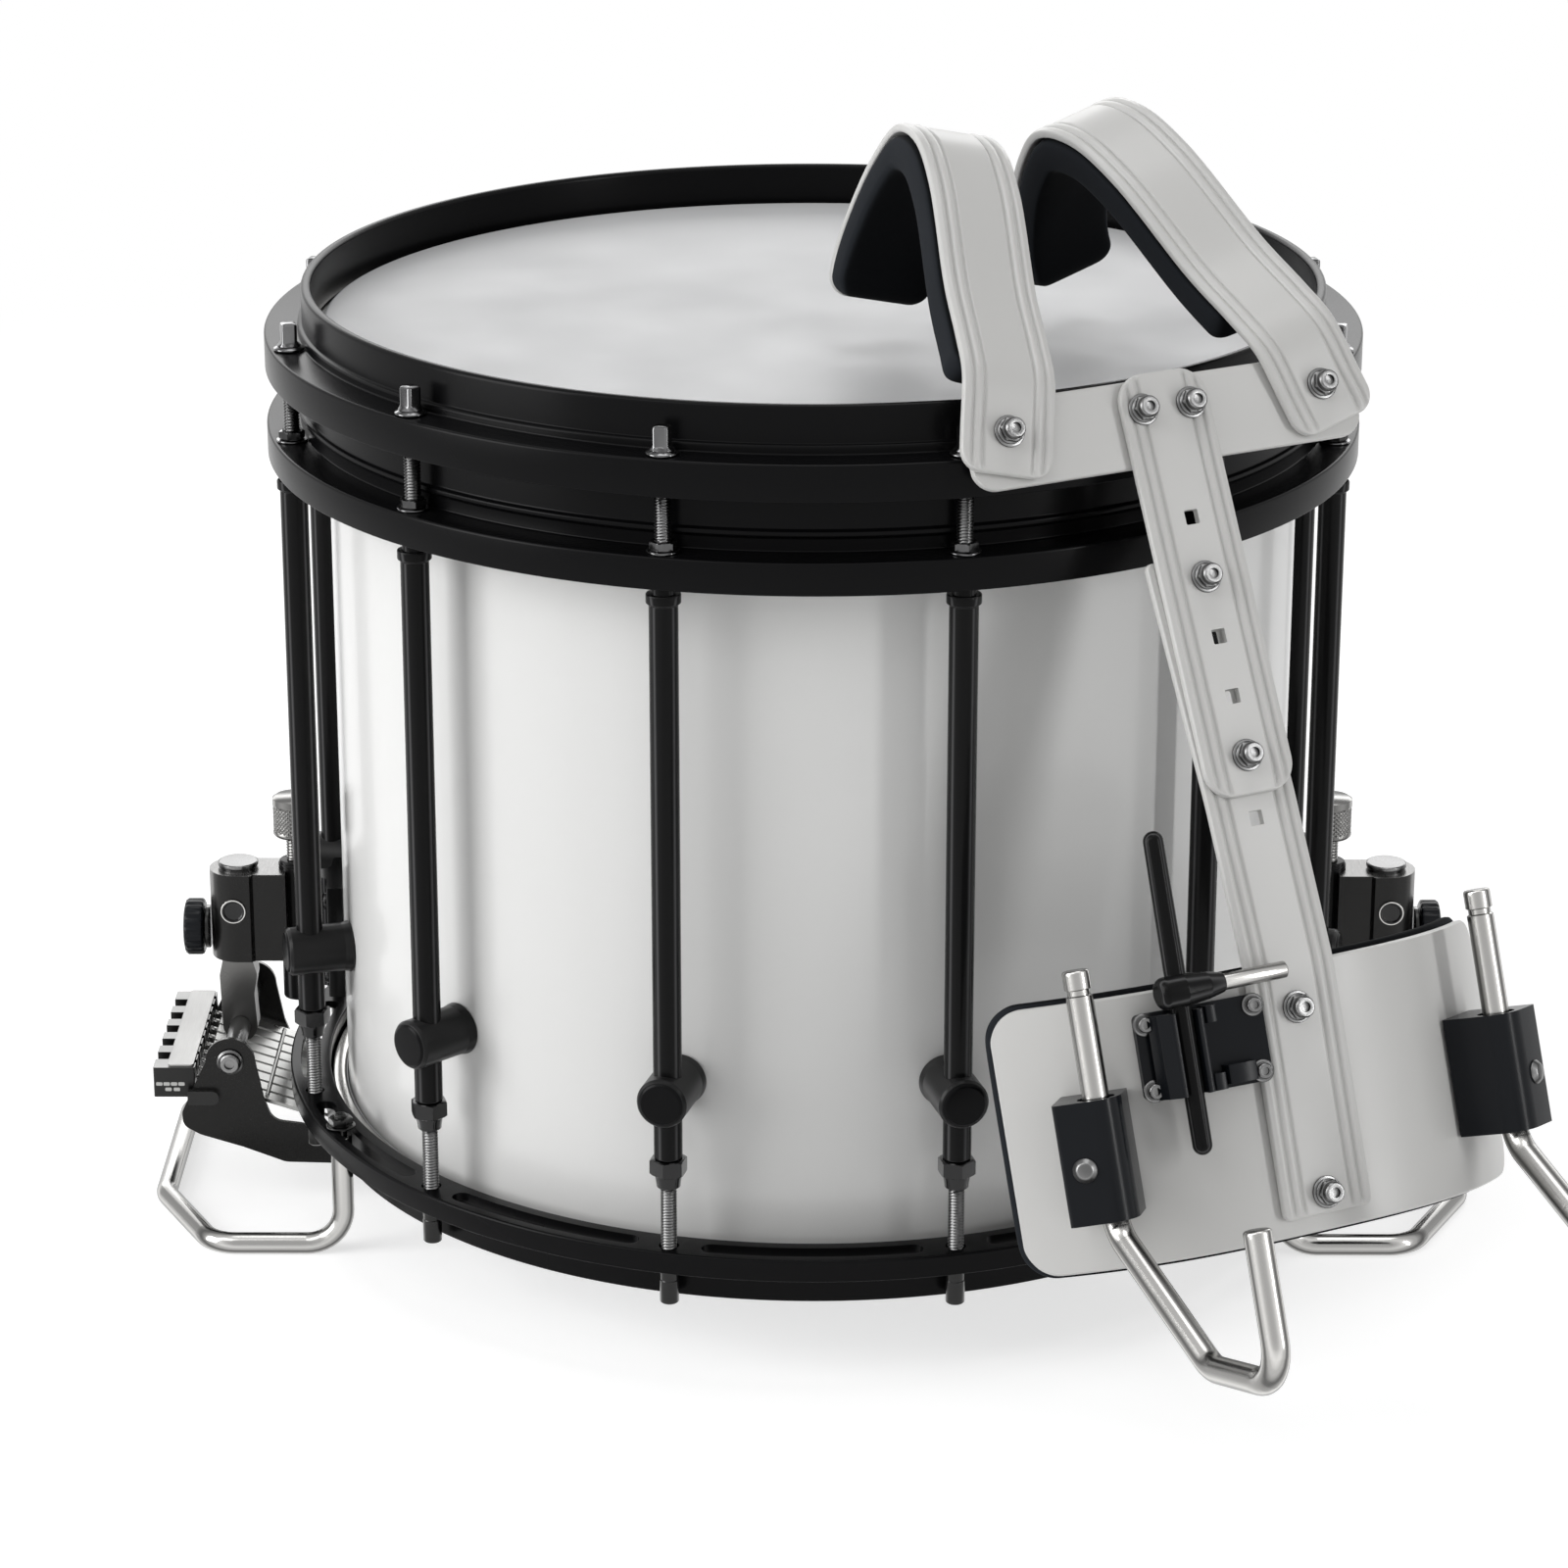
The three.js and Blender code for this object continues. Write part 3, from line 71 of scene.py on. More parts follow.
def softened(points, radius, steps=4, closed=True):
    # each corner becomes an arc of the radius: a rational quadratic from leg to leg, weighted by cos of half
    # the turn
    p = np.asarray(points, float)
    u, v = np.roll(p, 1, 0) - p, np.roll(p, -1, 0) - p
    lengthU, lengthV = np.linalg.norm(u, axis=1), np.linalg.norm(v, axis=1)
    half = (np.pi - np.arccos(np.clip((u * v).sum(1) / (lengthU * lengthV), -1, 1))) / 2
    cutBack = np.minimum(np.asarray(radius, float) * np.tan(np.minimum(half, 1.5)),
                         0.49 * np.minimum(lengthU, lengthV))
    start, end = p + u * (cutBack / lengthU)[:, None], p + v * (cutBack / lengthV)[:, None]
    t = np.linspace(0, 1, steps + 1)[None, :]
    a, b, c = (1 - t) ** 2 + 0 * half[:, None], 2 * np.cos(half)[:,
                                                                 None] * t * (1 - t), t ** 2 + 0 * half[:,
                                                                                                        None]
    arcs = (a[..., None] * start[:, None] + b[..., None] * p[:, None] + c[...,
                                                                          None] * end[:, None]) / (a + b
                                                                                                   + c)[...,
                                                                                                        None]
    flat = arcs.reshape(-1, p.shape[1])
    if not closed:
        flat = np.vstack([p[:1], flat[steps + 1:-steps - 1], p[-1:]])
    gap = np.linalg.norm(flat - np.roll(flat, 1, 0), axis=1)
    gap[0] = gap[0] if closed else 1
    return flat[gap > 1e-5]


def fullTurn(steps):
    return np.linspace(0, 2 * np.pi, steps, endpoint=False)


def ringStack(radius, angle, level):
    # a ring of points at each level: x = radius cos angle, y = radius sin angle
    z = np.repeat(np.asarray(level, float)[:, None], len(angle), 1)
    return np.stack([radius * np.cos(angle), radius * np.sin(angle), z], -1).reshape(-1, 3)


def turned(profile, segments, closed=False):
    # the profile (r, z) goes round Z, and its ends on the axis close in a pole
    r, z = np.asarray(profile, float).T
    return ringStack(r[:, None], fullTurn(segments), z), gridFaces(len(r), segments, closed, True)


def lathe(profile, radii, steps, segments, closed=False):
    return turned(softened(profile, radii, steps, closed), segments, closed)


def oblong(left, low, right, high):
    return [(left, low), (right, low), (right, high), (left, high)]


def runOf(path):
    # the length of the path up to each of its points
    return np.concatenate([[0], np.cumsum(np.linalg.norm(np.diff(path, axis=0), axis=1))])


def walked(at, run, path):
    return np.stack([np.interp(at, run, column) for column in np.asarray(path, float).T], -1)


def alongPath(path, sections):
    # each section, a ring of sideways and upward offsets, stands square to the path and turns as little as it
    # can
    tangent = np.gradient(path, axis=0)
    tangent /= np.linalg.norm(tangent, axis=1)[:, None]
    side = [np.cross(tangent[0], [0, 0, 1]) if abs(tangent[0][2]) < 0.9 else np.cross(tangent[0], [0, 1, 0])]
    for direction in tangent[1:]:
        side.append(side[-1] - direction * side[-1].dot(direction))
    side = np.array(side) / np.linalg.norm(side, axis=1)[:, None]
    up = np.cross(tangent, side)
    rings = path[:, None] + side[:, None] * sections[..., :1] + up[:, None] * sections[..., 1:]
    return rings.reshape(-1, 3), gridFaces(len(path), sections.shape[1], False, True)


def bentRod(corners, radius, bend, sides=28, edge=0.6, step=4, fine=()):
    # straight legs joined by arcs, a circle carried along them, and both ends closed with a rounded edge
    path = softened(corners, bend, 10, closed=False)
    run = runOf(path)
    arc = np.linspace(0, np.pi / 2, 4)
    ends = edge * (1 - np.cos(arc))
    shrink = radius - edge + edge * np.sin(arc)
    middle = np.union1d(run[(run > edge) & (run < run[-1] - edge)],
                        np.arange(2 * edge, run[-1] - 2 * edge, step))
    middle = np.union1d(middle, np.asarray(fine, float))
    near = np.concatenate([[1e-4], ends + 2e-4])
    at = np.concatenate([near, middle, run[-1] - near[::-1]])
    size = np.concatenate([[0], shrink, np.full(len(middle), radius), shrink[::-1], [0]])
    circle = np.stack([np.cos(fullTurn(sides)), np.sin(fullTurn(sides))], -1)
    return alongPath(walked(at, run, path), size[:, None, None] * circle[None])


def sidedRing(sides, flat, bore, low, high, chamfer=0.5, perSide=8):
    # a nut: its radius is flat / cos of the angle from the middle of each side, and a cone trims the corners
    # at both ends
    angle = fullTurn(sides * perSide)
    corner = flat / np.cos(np.mod(angle, 2 * np.pi / sides) - np.pi / sides)
    rise = chamfer * np.array([0, 0, 0.5, 1])
    level = np.concatenate([rise, high - low - rise[::-1]])
    reach = flat / np.cos(np.pi / sides)
    cone = np.array([reach - 2 * chamfer, reach - 1.9 * chamfer, reach - 0.8 * chamfer, reach + 1])
    radius = np.minimum(corner[None], np.concatenate([cone, cone[::-1]])[:, None])
    radius[[0, -1]] = bore
    return ringStack(radius, angle, low + level), gridFaces(len(level), len(angle), True, True)


def threadedRod(radius, low, high, pitch=0.8, depth=0.35, sides=20, perTurn=6):
    # radius less a triangle wave of height / pitch less angle / full turn: one helix, fading out at both ends
    level = np.linspace(low, high, int((high - low) / pitch * perTurn) + 1)
    angle = fullTurn(sides)
    phase = np.mod(level[:, None] / pitch - angle[None] / (2 * np.pi), 1)
    fade = np.clip(np.minimum(level - low, high - level) / pitch, 0, 1)[:, None]
    r = np.pad(radius - depth * np.abs(2 * phase - 1) * fade, ((1, 1), (0, 0)))
    level = np.concatenate([[low], level, [high]])
    return ringStack(r, angle, level), gridFaces(len(level), sides, False, True)


def plate(outline, low, high):
    # a flat outline between two levels: both caps by tessellation, and the wall between them
    flat = np.asarray(outline, float)
    count = len(flat)
    caps = tessellate_polygon([[Vector((x, y, 0)) for x, y in flat]])
    points = np.vstack([np.column_stack([flat, np.full(count, level)]) for level in (low, high)])
    faces = [list(cap) for cap in caps] + [[k + count for k in cap[::-1]] for cap in caps]
    k = np.arange(count)
    n = np.roll(k, -1)
    return points, faces + np.stack([k, n, n + count, k + count], -1).tolist()


def joined(*surfaces):
    points, faces, first = [], [], 0
    for surface in surfaces:
        points.append(np.asarray(surface[0], float))
        faces += [[k + first for k in face] for face in surface[1]]
        first += len(surface[0])
    return np.vstack(points), faces


def moved(surface, matrix):
    matrix = np.array(matrix)
    return np.asarray(surface[0], float) @ matrix[:3, :3].T + matrix[:3, 3], surface[1]


def shift(x=0, y=0, z=0):
    return Matrix.Translation((x, y, z))


def about(axis, degrees):
    return Matrix.Rotation(math.radians(degrees), 4, axis)


home = Matrix.Identity(4)
alongX = about("Y", 90)


def roundOff(distance, radius):
    # how far a quarter circle of the radius draws a face in, at this distance from the end
    return radius - np.sqrt(np.maximum(radius ** 2 - np.clip(radius - distance, 0, radius) ** 2, 0))


def solidFrom(name, surface):
    mesh = bpy.data.meshes.new(name)
    mesh.from_pydata((np.asarray(surface[0], float) * mm).tolist(), [], surface[1])
    work = bmesh.new()
    work.from_mesh(mesh)
    bmesh.ops.remove_doubles(work, verts=work.verts, dist=2e-6)
    bmesh.ops.dissolve_degenerate(work, edges=work.edges, dist=1e-7)
    bmesh.ops.recalc_face_normals(work, faces=work.faces)
    work.to_mesh(mesh)
    work.free()
    thing = bpy.data.objects.new(name, mesh)
    bpy.context.scene.collection.objects.link(thing)
    return thing


def cutAway(thing, tool):
    rule = thing.modifiers.new("cut", "BOOLEAN")
    rule.operation, rule.solver, rule.object = "DIFFERENCE", "EXACT", tool
    solved = thing.evaluated_get(bpy.context.evaluated_depsgraph_get())
    cutMesh = bpy.data.meshes.new_from_object(solved)
    thing.modifiers.clear()
    thing.data = cutMesh
    bpy.data.objects.remove(tool)


def piece(name, surface, place, look, body, slot, corner=35, bevel=0, replaces=None, cutters=()):
    thing = solidFrom(name, moved(surface, place))
    for k, cutter in enumerate(cutters):
        cutAway(thing, solidFrom(f"{name}_cutter_{k}", moved(cutter, place)))
    mesh = thing.data
    mesh.polygons.foreach_set("use_smooth", np.ones(len(mesh.polygons), bool))
    mesh.set_sharp_from_angle(angle=math.radians(corner))
    if bevel:
        edge = thing.modifiers.new("edge", "BEVEL")
        edge.width, edge.segments, edge.limit_method = bevel * mm, 2, "ANGLE"
        edge.angle_limit, edge.harden_normals = math.radians(40), True
    mesh.materials.clear()
    mesh.materials.append(finish[look])
    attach(thing, body)
    if replaces:
        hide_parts(replaces)
    return thing


# Material tools

def shaderGroup(name, inputs, outputs):
    group = bpy.data.node_groups.new(name, "ShaderNodeTree")
    for label, kind, value in inputs:
        socket = group.interface.new_socket(label, in_out="INPUT", socket_type=kind)
        if value is not None:
            socket.default_value = value
    for label in outputs:
        group.interface.new_socket(label, in_out="OUTPUT", socket_type="NodeSocketFloat")
    return group, group.nodes.new("NodeGroupInput").outputs, group.nodes.new("NodeGroupOutput")


def addNode(tree, kind, values=(), **settings):
    # a value that is another node's output is wired in, any other value is set
    node = tree.nodes.new(kind)
    for key, value in settings.items():
        setattr(node, key, value)
    for key, value in dict(values).items():
        if isinstance(value, bpy.types.NodeSocket):
            tree.links.new(value, node.inputs[key])
        else:
            node.inputs[key].default_value = value
    return node


def noiseOf(tree, place, scale, detail, roughness=0.5):
    values = {"Vector": place, "Scale": scale, "Detail": detail, "Roughness": roughness}
    return addNode(tree, "ShaderNodeTexNoise", values).outputs[0]


def calc(tree, operation, first, second=0.0, clamp=False):
    values = {0: first, 1: second}
    return addNode(tree, "ShaderNodeMath", values, operation=operation, use_clamp=clamp).outputs[0]


def buildGrain():
    # fine relief, and a slow mottle
    inputs = [("Vector", "NodeSocketVector", None), ("Scale", "NodeSocketFloat", 900.0),
              ("Mottle", "NodeSocketFloat", 9.0)]
    group, source, sink = shaderGroup("surfaceGrain", inputs, ["Relief", "Mottle"])
    group.links.new(noiseOf(group, source["Vector"], source["Scale"], 4, 0.6), sink.inputs["Relief"])
    group.links.new(noiseOf(group, source["Vector"], source["Mottle"], 3, 0.55), sink.inputs["Mottle"])
    return group


def buildMarks():
    # hairline scratches: two stretched noises, kept where they are near their middle value, in loose patches
    inputs = [("Vector", "NodeSocketVector", None), ("Scale", "NodeSocketFloat", 60.0)]
    group, source, sink = shaderGroup("handlingMarks", inputs, ["Scratch", "Smudge"])
    lines = []
    for turn, seed in ((0.5, 3.1), (-1.1, 7.7)):
        values = {"Vector": source["Vector"], "Rotation": (turn, turn * 0.7, turn * 1.9), "Scale": (1, 24, 1),
                  "Location": (seed, seed, 0)}
        place = addNode(group, "ShaderNodeMapping", values).outputs[0]
        offMiddle = calc(group, "SUBTRACT", noiseOf(group, place, source["Scale"], 2), 0.5)
        wide = calc(group, "MULTIPLY", calc(group, "ABSOLUTE", offMiddle), 110)
        lines.append(calc(group, "SUBTRACT", 1.0, wide, clamp=True))
    patch = noiseOf(group, source["Vector"], 22, 2)
    kept = calc(group, "MULTIPLY", calc(group, "SUBTRACT", patch, 0.52), 6, clamp=True)
    group.links.new(calc(group, "MULTIPLY", calc(group, "MAXIMUM", *lines), kept), sink.inputs["Scratch"])
    group.links.new(patch, sink.inputs["Smudge"])
    return group


def buildDrawn():
    # lines drawn along one direction: noise squeezed across it by the stretch
    inputs = [("Vector", "NodeSocketVector", None), ("Stretch", "NodeSocketVector", (1, 1, 0.03)),
              ("Scale", "NodeSocketFloat", 2600.0)]
    group, source, sink = shaderGroup("drawnLines", inputs, ["Lines"])
    values = {0: source["Vector"], 1: source["Stretch"]}
    place = addNode(group, "ShaderNodeVectorMath", values, operation="MULTIPLY").outputs[0]
    group.links.new(noiseOf(group, place, source["Scale"], 3, 0.7), sink.inputs["Lines"])
    return group


grainGroup, marksGroup, drawnGroup = buildGrain(), buildMarks(), buildDrawn()


def tint(tone):
    # a single number stands for a grey
    return (tone, tone, tone, 1) if isinstance(tone, (int, float)) else (*tone, 1)


def blended(tree, share, first, second, **settings):
    values = {0: share, 6: first, 7: second}
    return addNode(tree, "ShaderNodeMix", values, data_type="RGBA", **settings).outputs[2]


def rampOver(tree, colour, by, stops):
    # the colour times a smooth run of grey levels, each stop a place from 0 to 1 and its level
    ramp = addNode(tree, "ShaderNodeValToRGB", {0: by})
    ramp.color_ramp.interpolation = "EASE"
    while len(ramp.color_ramp.elements) < len(stops):
        ramp.color_ramp.elements.new(0.5)
    for element, (place, level) in zip(ramp.color_ramp.elements, stops):
        element.position, element.color = place, tint(level)
    return blended(tree, 1, colour, ramp.outputs[0], blend_type="MULTIPLY")


def finishOf(name, look):
    # colour runs between two near tones with the mottle, roughness with smudges and scratches,
    # and relief follows grain and lines
    material = bpy.data.materials.new(name)
    material.use_nodes = True
    tree = material.node_tree
    shader = tree.nodes["Principled BSDF"]
    place = addNode(tree, "ShaderNodeTexCoord").outputs["Object"]
    values = {"Vector": place, "Scale": look.get("grain", 900), "Mottle": look.get("mottle", 9)}
    grain = addNode(tree, "ShaderNodeGroup", values, node_tree=grainGroup).outputs
    marks = addNode(tree, "ShaderNodeGroup", {"Vector": place, "Scale": 60}, node_tree=marksGroup).outputs
    scratch = calc(tree, "MULTIPLY", marks["Scratch"], look["marks"])
    tone = blended(tree, grain["Mottle"], tint(look["colour"]), tint(look["second"]))
    shown = blended(tree, scratch, tone, tint(look.get("scuff", look["colour"])))
    if "paintedReflection" in look:
        # painted reflection: grey levels by the angle to the eye, multiplied into the colour, paint a
        # studio's dark and light stripes and highlight lines as if mirrored
        facing = addNode(tree, "ShaderNodeLayerWeight", {"Blend": 0.5}).outputs["Facing"]
        shown = rampOver(tree, shown, facing, look["paintedReflection"])
    if "paintedLitFacing" in look:
        # painted light and shade: faces whose normal lies along the given direction, like the foam's cut
        # edge, are painted lighter as if lit, and the others are painted darker
        values = {0: addNode(tree, "ShaderNodeNewGeometry").outputs["Normal"], 1: look["paintedLitFacing"]}
        across = addNode(tree, "ShaderNodeVectorMath", values, operation="DOT_PRODUCT").outputs["Value"]
        shown = rampOver(tree, shown, calc(tree, "ABSOLUTE", across), ((0.35, 0.22), (0.8, 1.0)))
    low, high = look["roughness"]
    values = {"Value": marks["Smudge"], "From Min": 0.3, "From Max": 0.7, "To Min": low, "To Max": high}
    rough = calc(tree, "ADD", addNode(tree, "ShaderNodeMapRange", values).outputs[0], scratch, clamp=True)
    height = grain["Relief"]
    if "drawn" in look:
        values = {"Vector": place, "Stretch": look["drawn"]}
        lines = addNode(tree, "ShaderNodeGroup", values, node_tree=drawnGroup).outputs["Lines"]
        height = calc(tree, "ADD", height, lines)
        swing = calc(tree, "MULTIPLY", calc(tree, "SUBTRACT", lines, 0.5), 0.25)
        rough = calc(tree, "ADD", rough, swing, clamp=True)
    if "coils" in look:
        # turns of a wound wire that lies along X
        turns = addNode(tree, "ShaderNodeTexWave", {"Vector": place, "Scale": look["coils"] / 6.28},
                        wave_type="BANDS", bands_direction="X", wave_profile="SIN")
        height = calc(tree, "ADD", calc(tree, "MULTIPLY", height, 0.1), turns.outputs["Fac"])
    values = {"Height": height, "Strength": look["strength"], "Distance": look["depth"]}
    relief = addNode(tree, "ShaderNodeBump", values).outputs[0]
    for label, value in {"Base Color": shown, "Roughness": rough, "Normal": relief}.items():
        tree.links.new(value, shader.inputs[label])
    for label, key, usual in (("Metallic", "metal", 0), ("Coat Weight", "coat", 0),
                              ("Coat Roughness", "coatRoughness", 0.1), ("Sheen Weight", "sheen", 0),
                              ("Specular IOR Level", "specular", 0.5)):
        shader.inputs[label].default_value = look.get(key, usual)
    shader.inputs["Sheen Roughness"].default_value = 0.5
    return material


# painted reflections for metals: grey levels by the angle to the eye, as the studio's bright and dark
# surroundings would mirror in them
steelPaintedReflection = ((0, 0.55), (0.1, 0.95), (0.22, 0.6), (0.38, 0.17), (0.52, 0.42), (0.66, 0.95), (0.82, 0.25),
              (0.93, 0.12), (1, 0.4))
darkPaintedReflection = ((0, 0.1), (0.3, 0.12), (0.48, 0.2), (0.63, 0.85), (0.74, 0.8), (0.86, 0.22), (1, 0.3))
# finishes; the grey-level tables by the angle to the eye in them are painted reflections and highlights
looks = {"whiteLacquer": dict(colour=(0.72, 0.72, 0.712), second=(0.718, 0.718, 0.71),
                              roughness=(0.27, 0.271), grain=900, mottle=5, depth=0.000001, strength=0.05,
                              coat=0.3, coatRoughness=0.12, marks=0.0, specular=0.25,
                              scuff=(0.62, 0.62, 0.61)), "headFilm": dict(colour=(0.53, 0.534, 0.54),
                                                                          second=(0.508, 0.512, 0.518),
                                                                          roughness=(0.42, 0.55), grain=2600,
                                                                          mottle=7, depth=0.00006,
                                                                          strength=0.5, marks=0.1,
                                                                          scuff=(0.5, 0.5, 0.51)),
         "hoopPaint": dict(colour=(0.003, 0.003, 0.0033), second=(0.0036, 0.0036, 0.004),
                           roughness=(0.24, 0.25), grain=700, depth=0.00001, strength=0.15, marks=0.002,
                           scuff=(0.03, 0.03, 0.032), specular=0.08),
         "tubePaint": dict(colour=(0.1, 0.1, 0.102), second=(0.085, 0.085, 0.087), roughness=(0.16, 0.2),
                           grain=900, paintedReflection=((0, 0.06), (0.2, 0.09), (0.31, 0.75), (0.4, 0.12), (0.66, 0.06),
                                             (0.84, 0.35), (0.92, 0.08), (1, 0.06)), depth=0.000005,
                           strength=0.1, marks=0.0, specular=0.07),
         "bossCast": dict(colour=(0.07, 0.07, 0.071), second=(0.08, 0.08, 0.081), roughness=(0.26, 0.32),
                          grain=1500, paintedReflection=((0, 0.14), (0.25, 0.16), (0.4, 0.4), (0.55, 0.2), (0.7, 0.9),
                                             (0.85, 0.3), (1, 0.1)), depth=0.00003, strength=0.25, marks=0.0,
                          specular=0.14), "blackNickel": dict(colour=(0.3, 0.3, 0.305), second=0.38,
                                                              roughness=(0.14, 0.22), metal=1, grain=1200,
                                                              depth=0.00002, strength=0.2, paintedReflection=darkPaintedReflection,
                                                              marks=0.15, scuff=0.4),
         "rodNickel": dict(colour=(0.36, 0.36, 0.365), second=(0.3, 0.3, 0.304), roughness=(0.12, 0.2),
                           metal=1, grain=1200, paintedReflection=((0, 0.5), (0.1, 0.25), (0.24, 0.55), (0.4, 0.14),
                                                       (0.62, 1.0), (0.76, 0.7), (0.88, 0.2), (1, 0.4)),
                           depth=0.00001, strength=0.2, marks=0.1, scuff=0.3),
         "threadSteel": dict(colour=0.26, second=0.21, roughness=(0.22, 0.34), metal=1, grain=1500,
                             paintedReflection=steelPaintedReflection, depth=0.00003, strength=0.3, marks=0.1, scuff=0.15),
         "drawnSteel": dict(colour=(0.74, 0.73, 0.71), second=(0.64, 0.63, 0.61), roughness=(0.17, 0.24),
                            metal=1, grain=1600, paintedReflection=steelPaintedReflection, depth=0.000006, strength=0.2,
                            drawn=(1, 1, 0.03), marks=0.1, scuff=0.2),
         "darkSteel": dict(colour=(0.34, 0.34, 0.337), second=(0.3, 0.3, 0.297), roughness=(0.18, 0.3),
                           metal=1, grain=1300, paintedReflection=darkPaintedReflection, depth=0.00003, strength=0.3, marks=0.15,
                           scuff=0.5), "leverSteel": dict(colour=(0.42, 0.416, 0.405),
                                                          second=(0.34, 0.336, 0.328), roughness=(0.24, 0.34),
                                                          metal=1, grain=1500, paintedReflection=((0, 0.35), (0.2, 0.55),
                                                                                      (0.45, 0.35),
                                                                                      (0.66, 1.0),
                                                                                      (0.85, 0.3), (1, 0.5)),
                                                          depth=0.000003, strength=0.1, marks=0.02,
                                                          scuff=0.4), "guardSteel": dict(colour=(0.66, 0.652,
                                                                                                 0.635),
                                                                                         second=(0.54, 0.534,
                                                                                                 0.52),
                                                                                         roughness=(0.14,
                                                                                                    0.22),
                                                                                         metal=1, grain=1300,
                                                                                         paintedReflection=steelPaintedReflection,
                                                                                         depth=0.00002,
                                                                                         strength=0.25,
                                                                                         marks=0.2,
                                                                                         scuff=0.15),
         "combSteel": dict(colour=(0.3, 0.3, 0.297), second=(0.26, 0.26, 0.257), roughness=(0.26, 0.36),
                           metal=0.95, grain=1500, paintedReflection=darkPaintedReflection, depth=0.00003, strength=0.3, marks=0.12,
                           scuff=0.4), "coverSteel": dict(colour=(0.33, 0.328, 0.322),
                                                          second=(0.3, 0.298, 0.293), roughness=(0.3, 0.4),
                                                          metal=0.9, grain=1500, depth=0.00002, strength=0.25,
                                                          drawn=(1, 0.04, 1), marks=0.1, scuff=0.3),
         "strandCoil": dict(colour=(0.6, 0.6, 0.59), second=(0.5, 0.5, 0.49), roughness=(0.25, 0.38), metal=1,
                            grain=1500, depth=0.0003, strength=0.8, coils=900, marks=0.1, scuff=0.2),
         "gunmetal": dict(colour=(0.2, 0.198, 0.195), second=(0.24, 0.238, 0.235), roughness=(0.24, 0.34),
                          metal=0.95, grain=1700, paintedReflection=darkPaintedReflection, depth=0.00004, strength=0.35,
                          drawn=(1, 0.04, 1), marks=0.12, scuff=0.14),
         "blackPlastic": dict(colour=(0.005, 0.006, 0.008), second=(0.008, 0.009, 0.011),
                              roughness=(0.2, 0.26), grain=1900, depth=0.00002, strength=0.2, marks=0.02,
                              scuff=0.02, specular=0.13), "whitePaint": dict(colour=(0.56, 0.557, 0.545),
                                                                             second=(0.545, 0.542, 0.53),
                                                                             roughness=(0.3, 0.36),
                                                                             grain=1100, mottle=12,
                                                                             depth=0.00001, strength=0.2,
                                                                             marks=0.0, scuff=(0.55, 0.54,
                                                                                               0.52)),
         # the foam's faces along one direction are painted lighter, as if lit, and the rest painted darker
         "foam": dict(colour=(0.014, 0.016, 0.019), second=(0.019, 0.021, 0.025), roughness=(0.7, 0.85),
                      grain=1500, mottle=30, depth=0.00015, strength=0.4, marks=0.0, sheen=0.02,
                      specular=0.04, paintedLitFacing=(0.9, 0.4, 0.0)),
         "strandSteel": dict(colour=(0.44, 0.44, 0.43), second=(0.37, 0.37, 0.36), roughness=(0.25, 0.38),
                             metal=0.85, grain=1500, depth=0.00004, strength=0.4, marks=0.1, scuff=0.35), }
finish = {name: finishOf(name, look) for name, look in looks.items()}
print("materials made")

# Studio: a plain floor that the guards stand on, white to the eye and to reflections, and soft lamps
studio = {"floorLevel": -338.95, "floorSize": 9, "world": 0.33, "shadowReach": (0.75, 1.5),
          "aim": (0, 0, -0.15), "lamps": [("key", (-1.3, -1.5, 2.1), 1.5, 1.1, 9.0),
                                          ("top", (0.1, 0.2, 2.6), 1.5, 1.2, 15.5),
                                          ("horizon", (0.0, 2.6, 1.0), 4.0, 0.9, 24.0),
                                          ("softLeft", (-2.1, -0.85, 0.55), 1.2, 1.7, 38.0),
                                          ("stripRight", (1.8, -1.2, 0.35), 0.18, 1.6, 13.0)]}
white = (1, 1, 1, 1)


def whiteToEye(tree, lit, seen):
    # camera, glossy and transmission rays meet what is seen; every other ray meets the lit surface
    path = addNode(tree, "ShaderNodeLightPath").outputs
    mirrored = calc(tree, "MAXIMUM", path["Is Glossy Ray"], path["Is Transmission Ray"])
    values = {0: calc(tree, "MAXIMUM", path["Is Camera Ray"], mirrored), 1: lit, 2: seen}
    return addNode(tree, "ShaderNodeMixShader", values).outputs[0]


def floorWhite():
    material = bpy.data.materials.new("floorWhite")
    material.use_nodes = True
    tree = material.node_tree
    shader = tree.nodes["Principled BSDF"]
    shader.inputs["Base Color"].default_value = tint(0.8)
    shader.inputs["Roughness"].default_value = 0.9
    noise = addNode(tree, "ShaderNodeTexNoise", {"Scale": 30}).outputs[0]
    bump = addNode(tree, "ShaderNodeBump", {"Height": noise, "Strength": 0.05, "Distance": 0.001})
    tree.links.new(bump.outputs[0], shader.inputs["Normal"])
    # most of the white glows, the rest is lit and holds the shadow
    glow = addNode(tree, "ShaderNodeEmission", {"Strength": 0.62}).outputs[0]
    dim = addNode(tree, "ShaderNodeBsdfDiffuse", {"Color": tint(0.62)}).outputs[0]
    sheet = addNode(tree, "ShaderNodeAddShader", {0: glow, 1: dim}).outputs[0]
    # past the object's shadow the sheet turns into the plain white of the backdrop
    place = addNode(tree, "ShaderNodeTexCoord").outputs["Object"]
    reach = addNode(tree, "ShaderNodeVectorMath", {0: place}, operation="LENGTH").outputs["Value"]
    near, far = studio["shadowReach"]
    away = addNode(tree, "ShaderNodeMapRange", {"Value": reach, "From Min": near, "From Max": far},
                   interpolation_type="SMOOTHSTEP").outputs[0]
    plain = addNode(tree, "ShaderNodeEmission", {"Color": white, "Strength": 1.0}).outputs[0]
    faded = addNode(tree, "ShaderNodeMixShader", {0: away, 1: sheet, 2: plain}).outputs[0]
    seen = whiteToEye(tree, shader.outputs[0], faded)
    tree.links.new(seen, tree.nodes["Material Output"].inputs["Surface"])
    return material


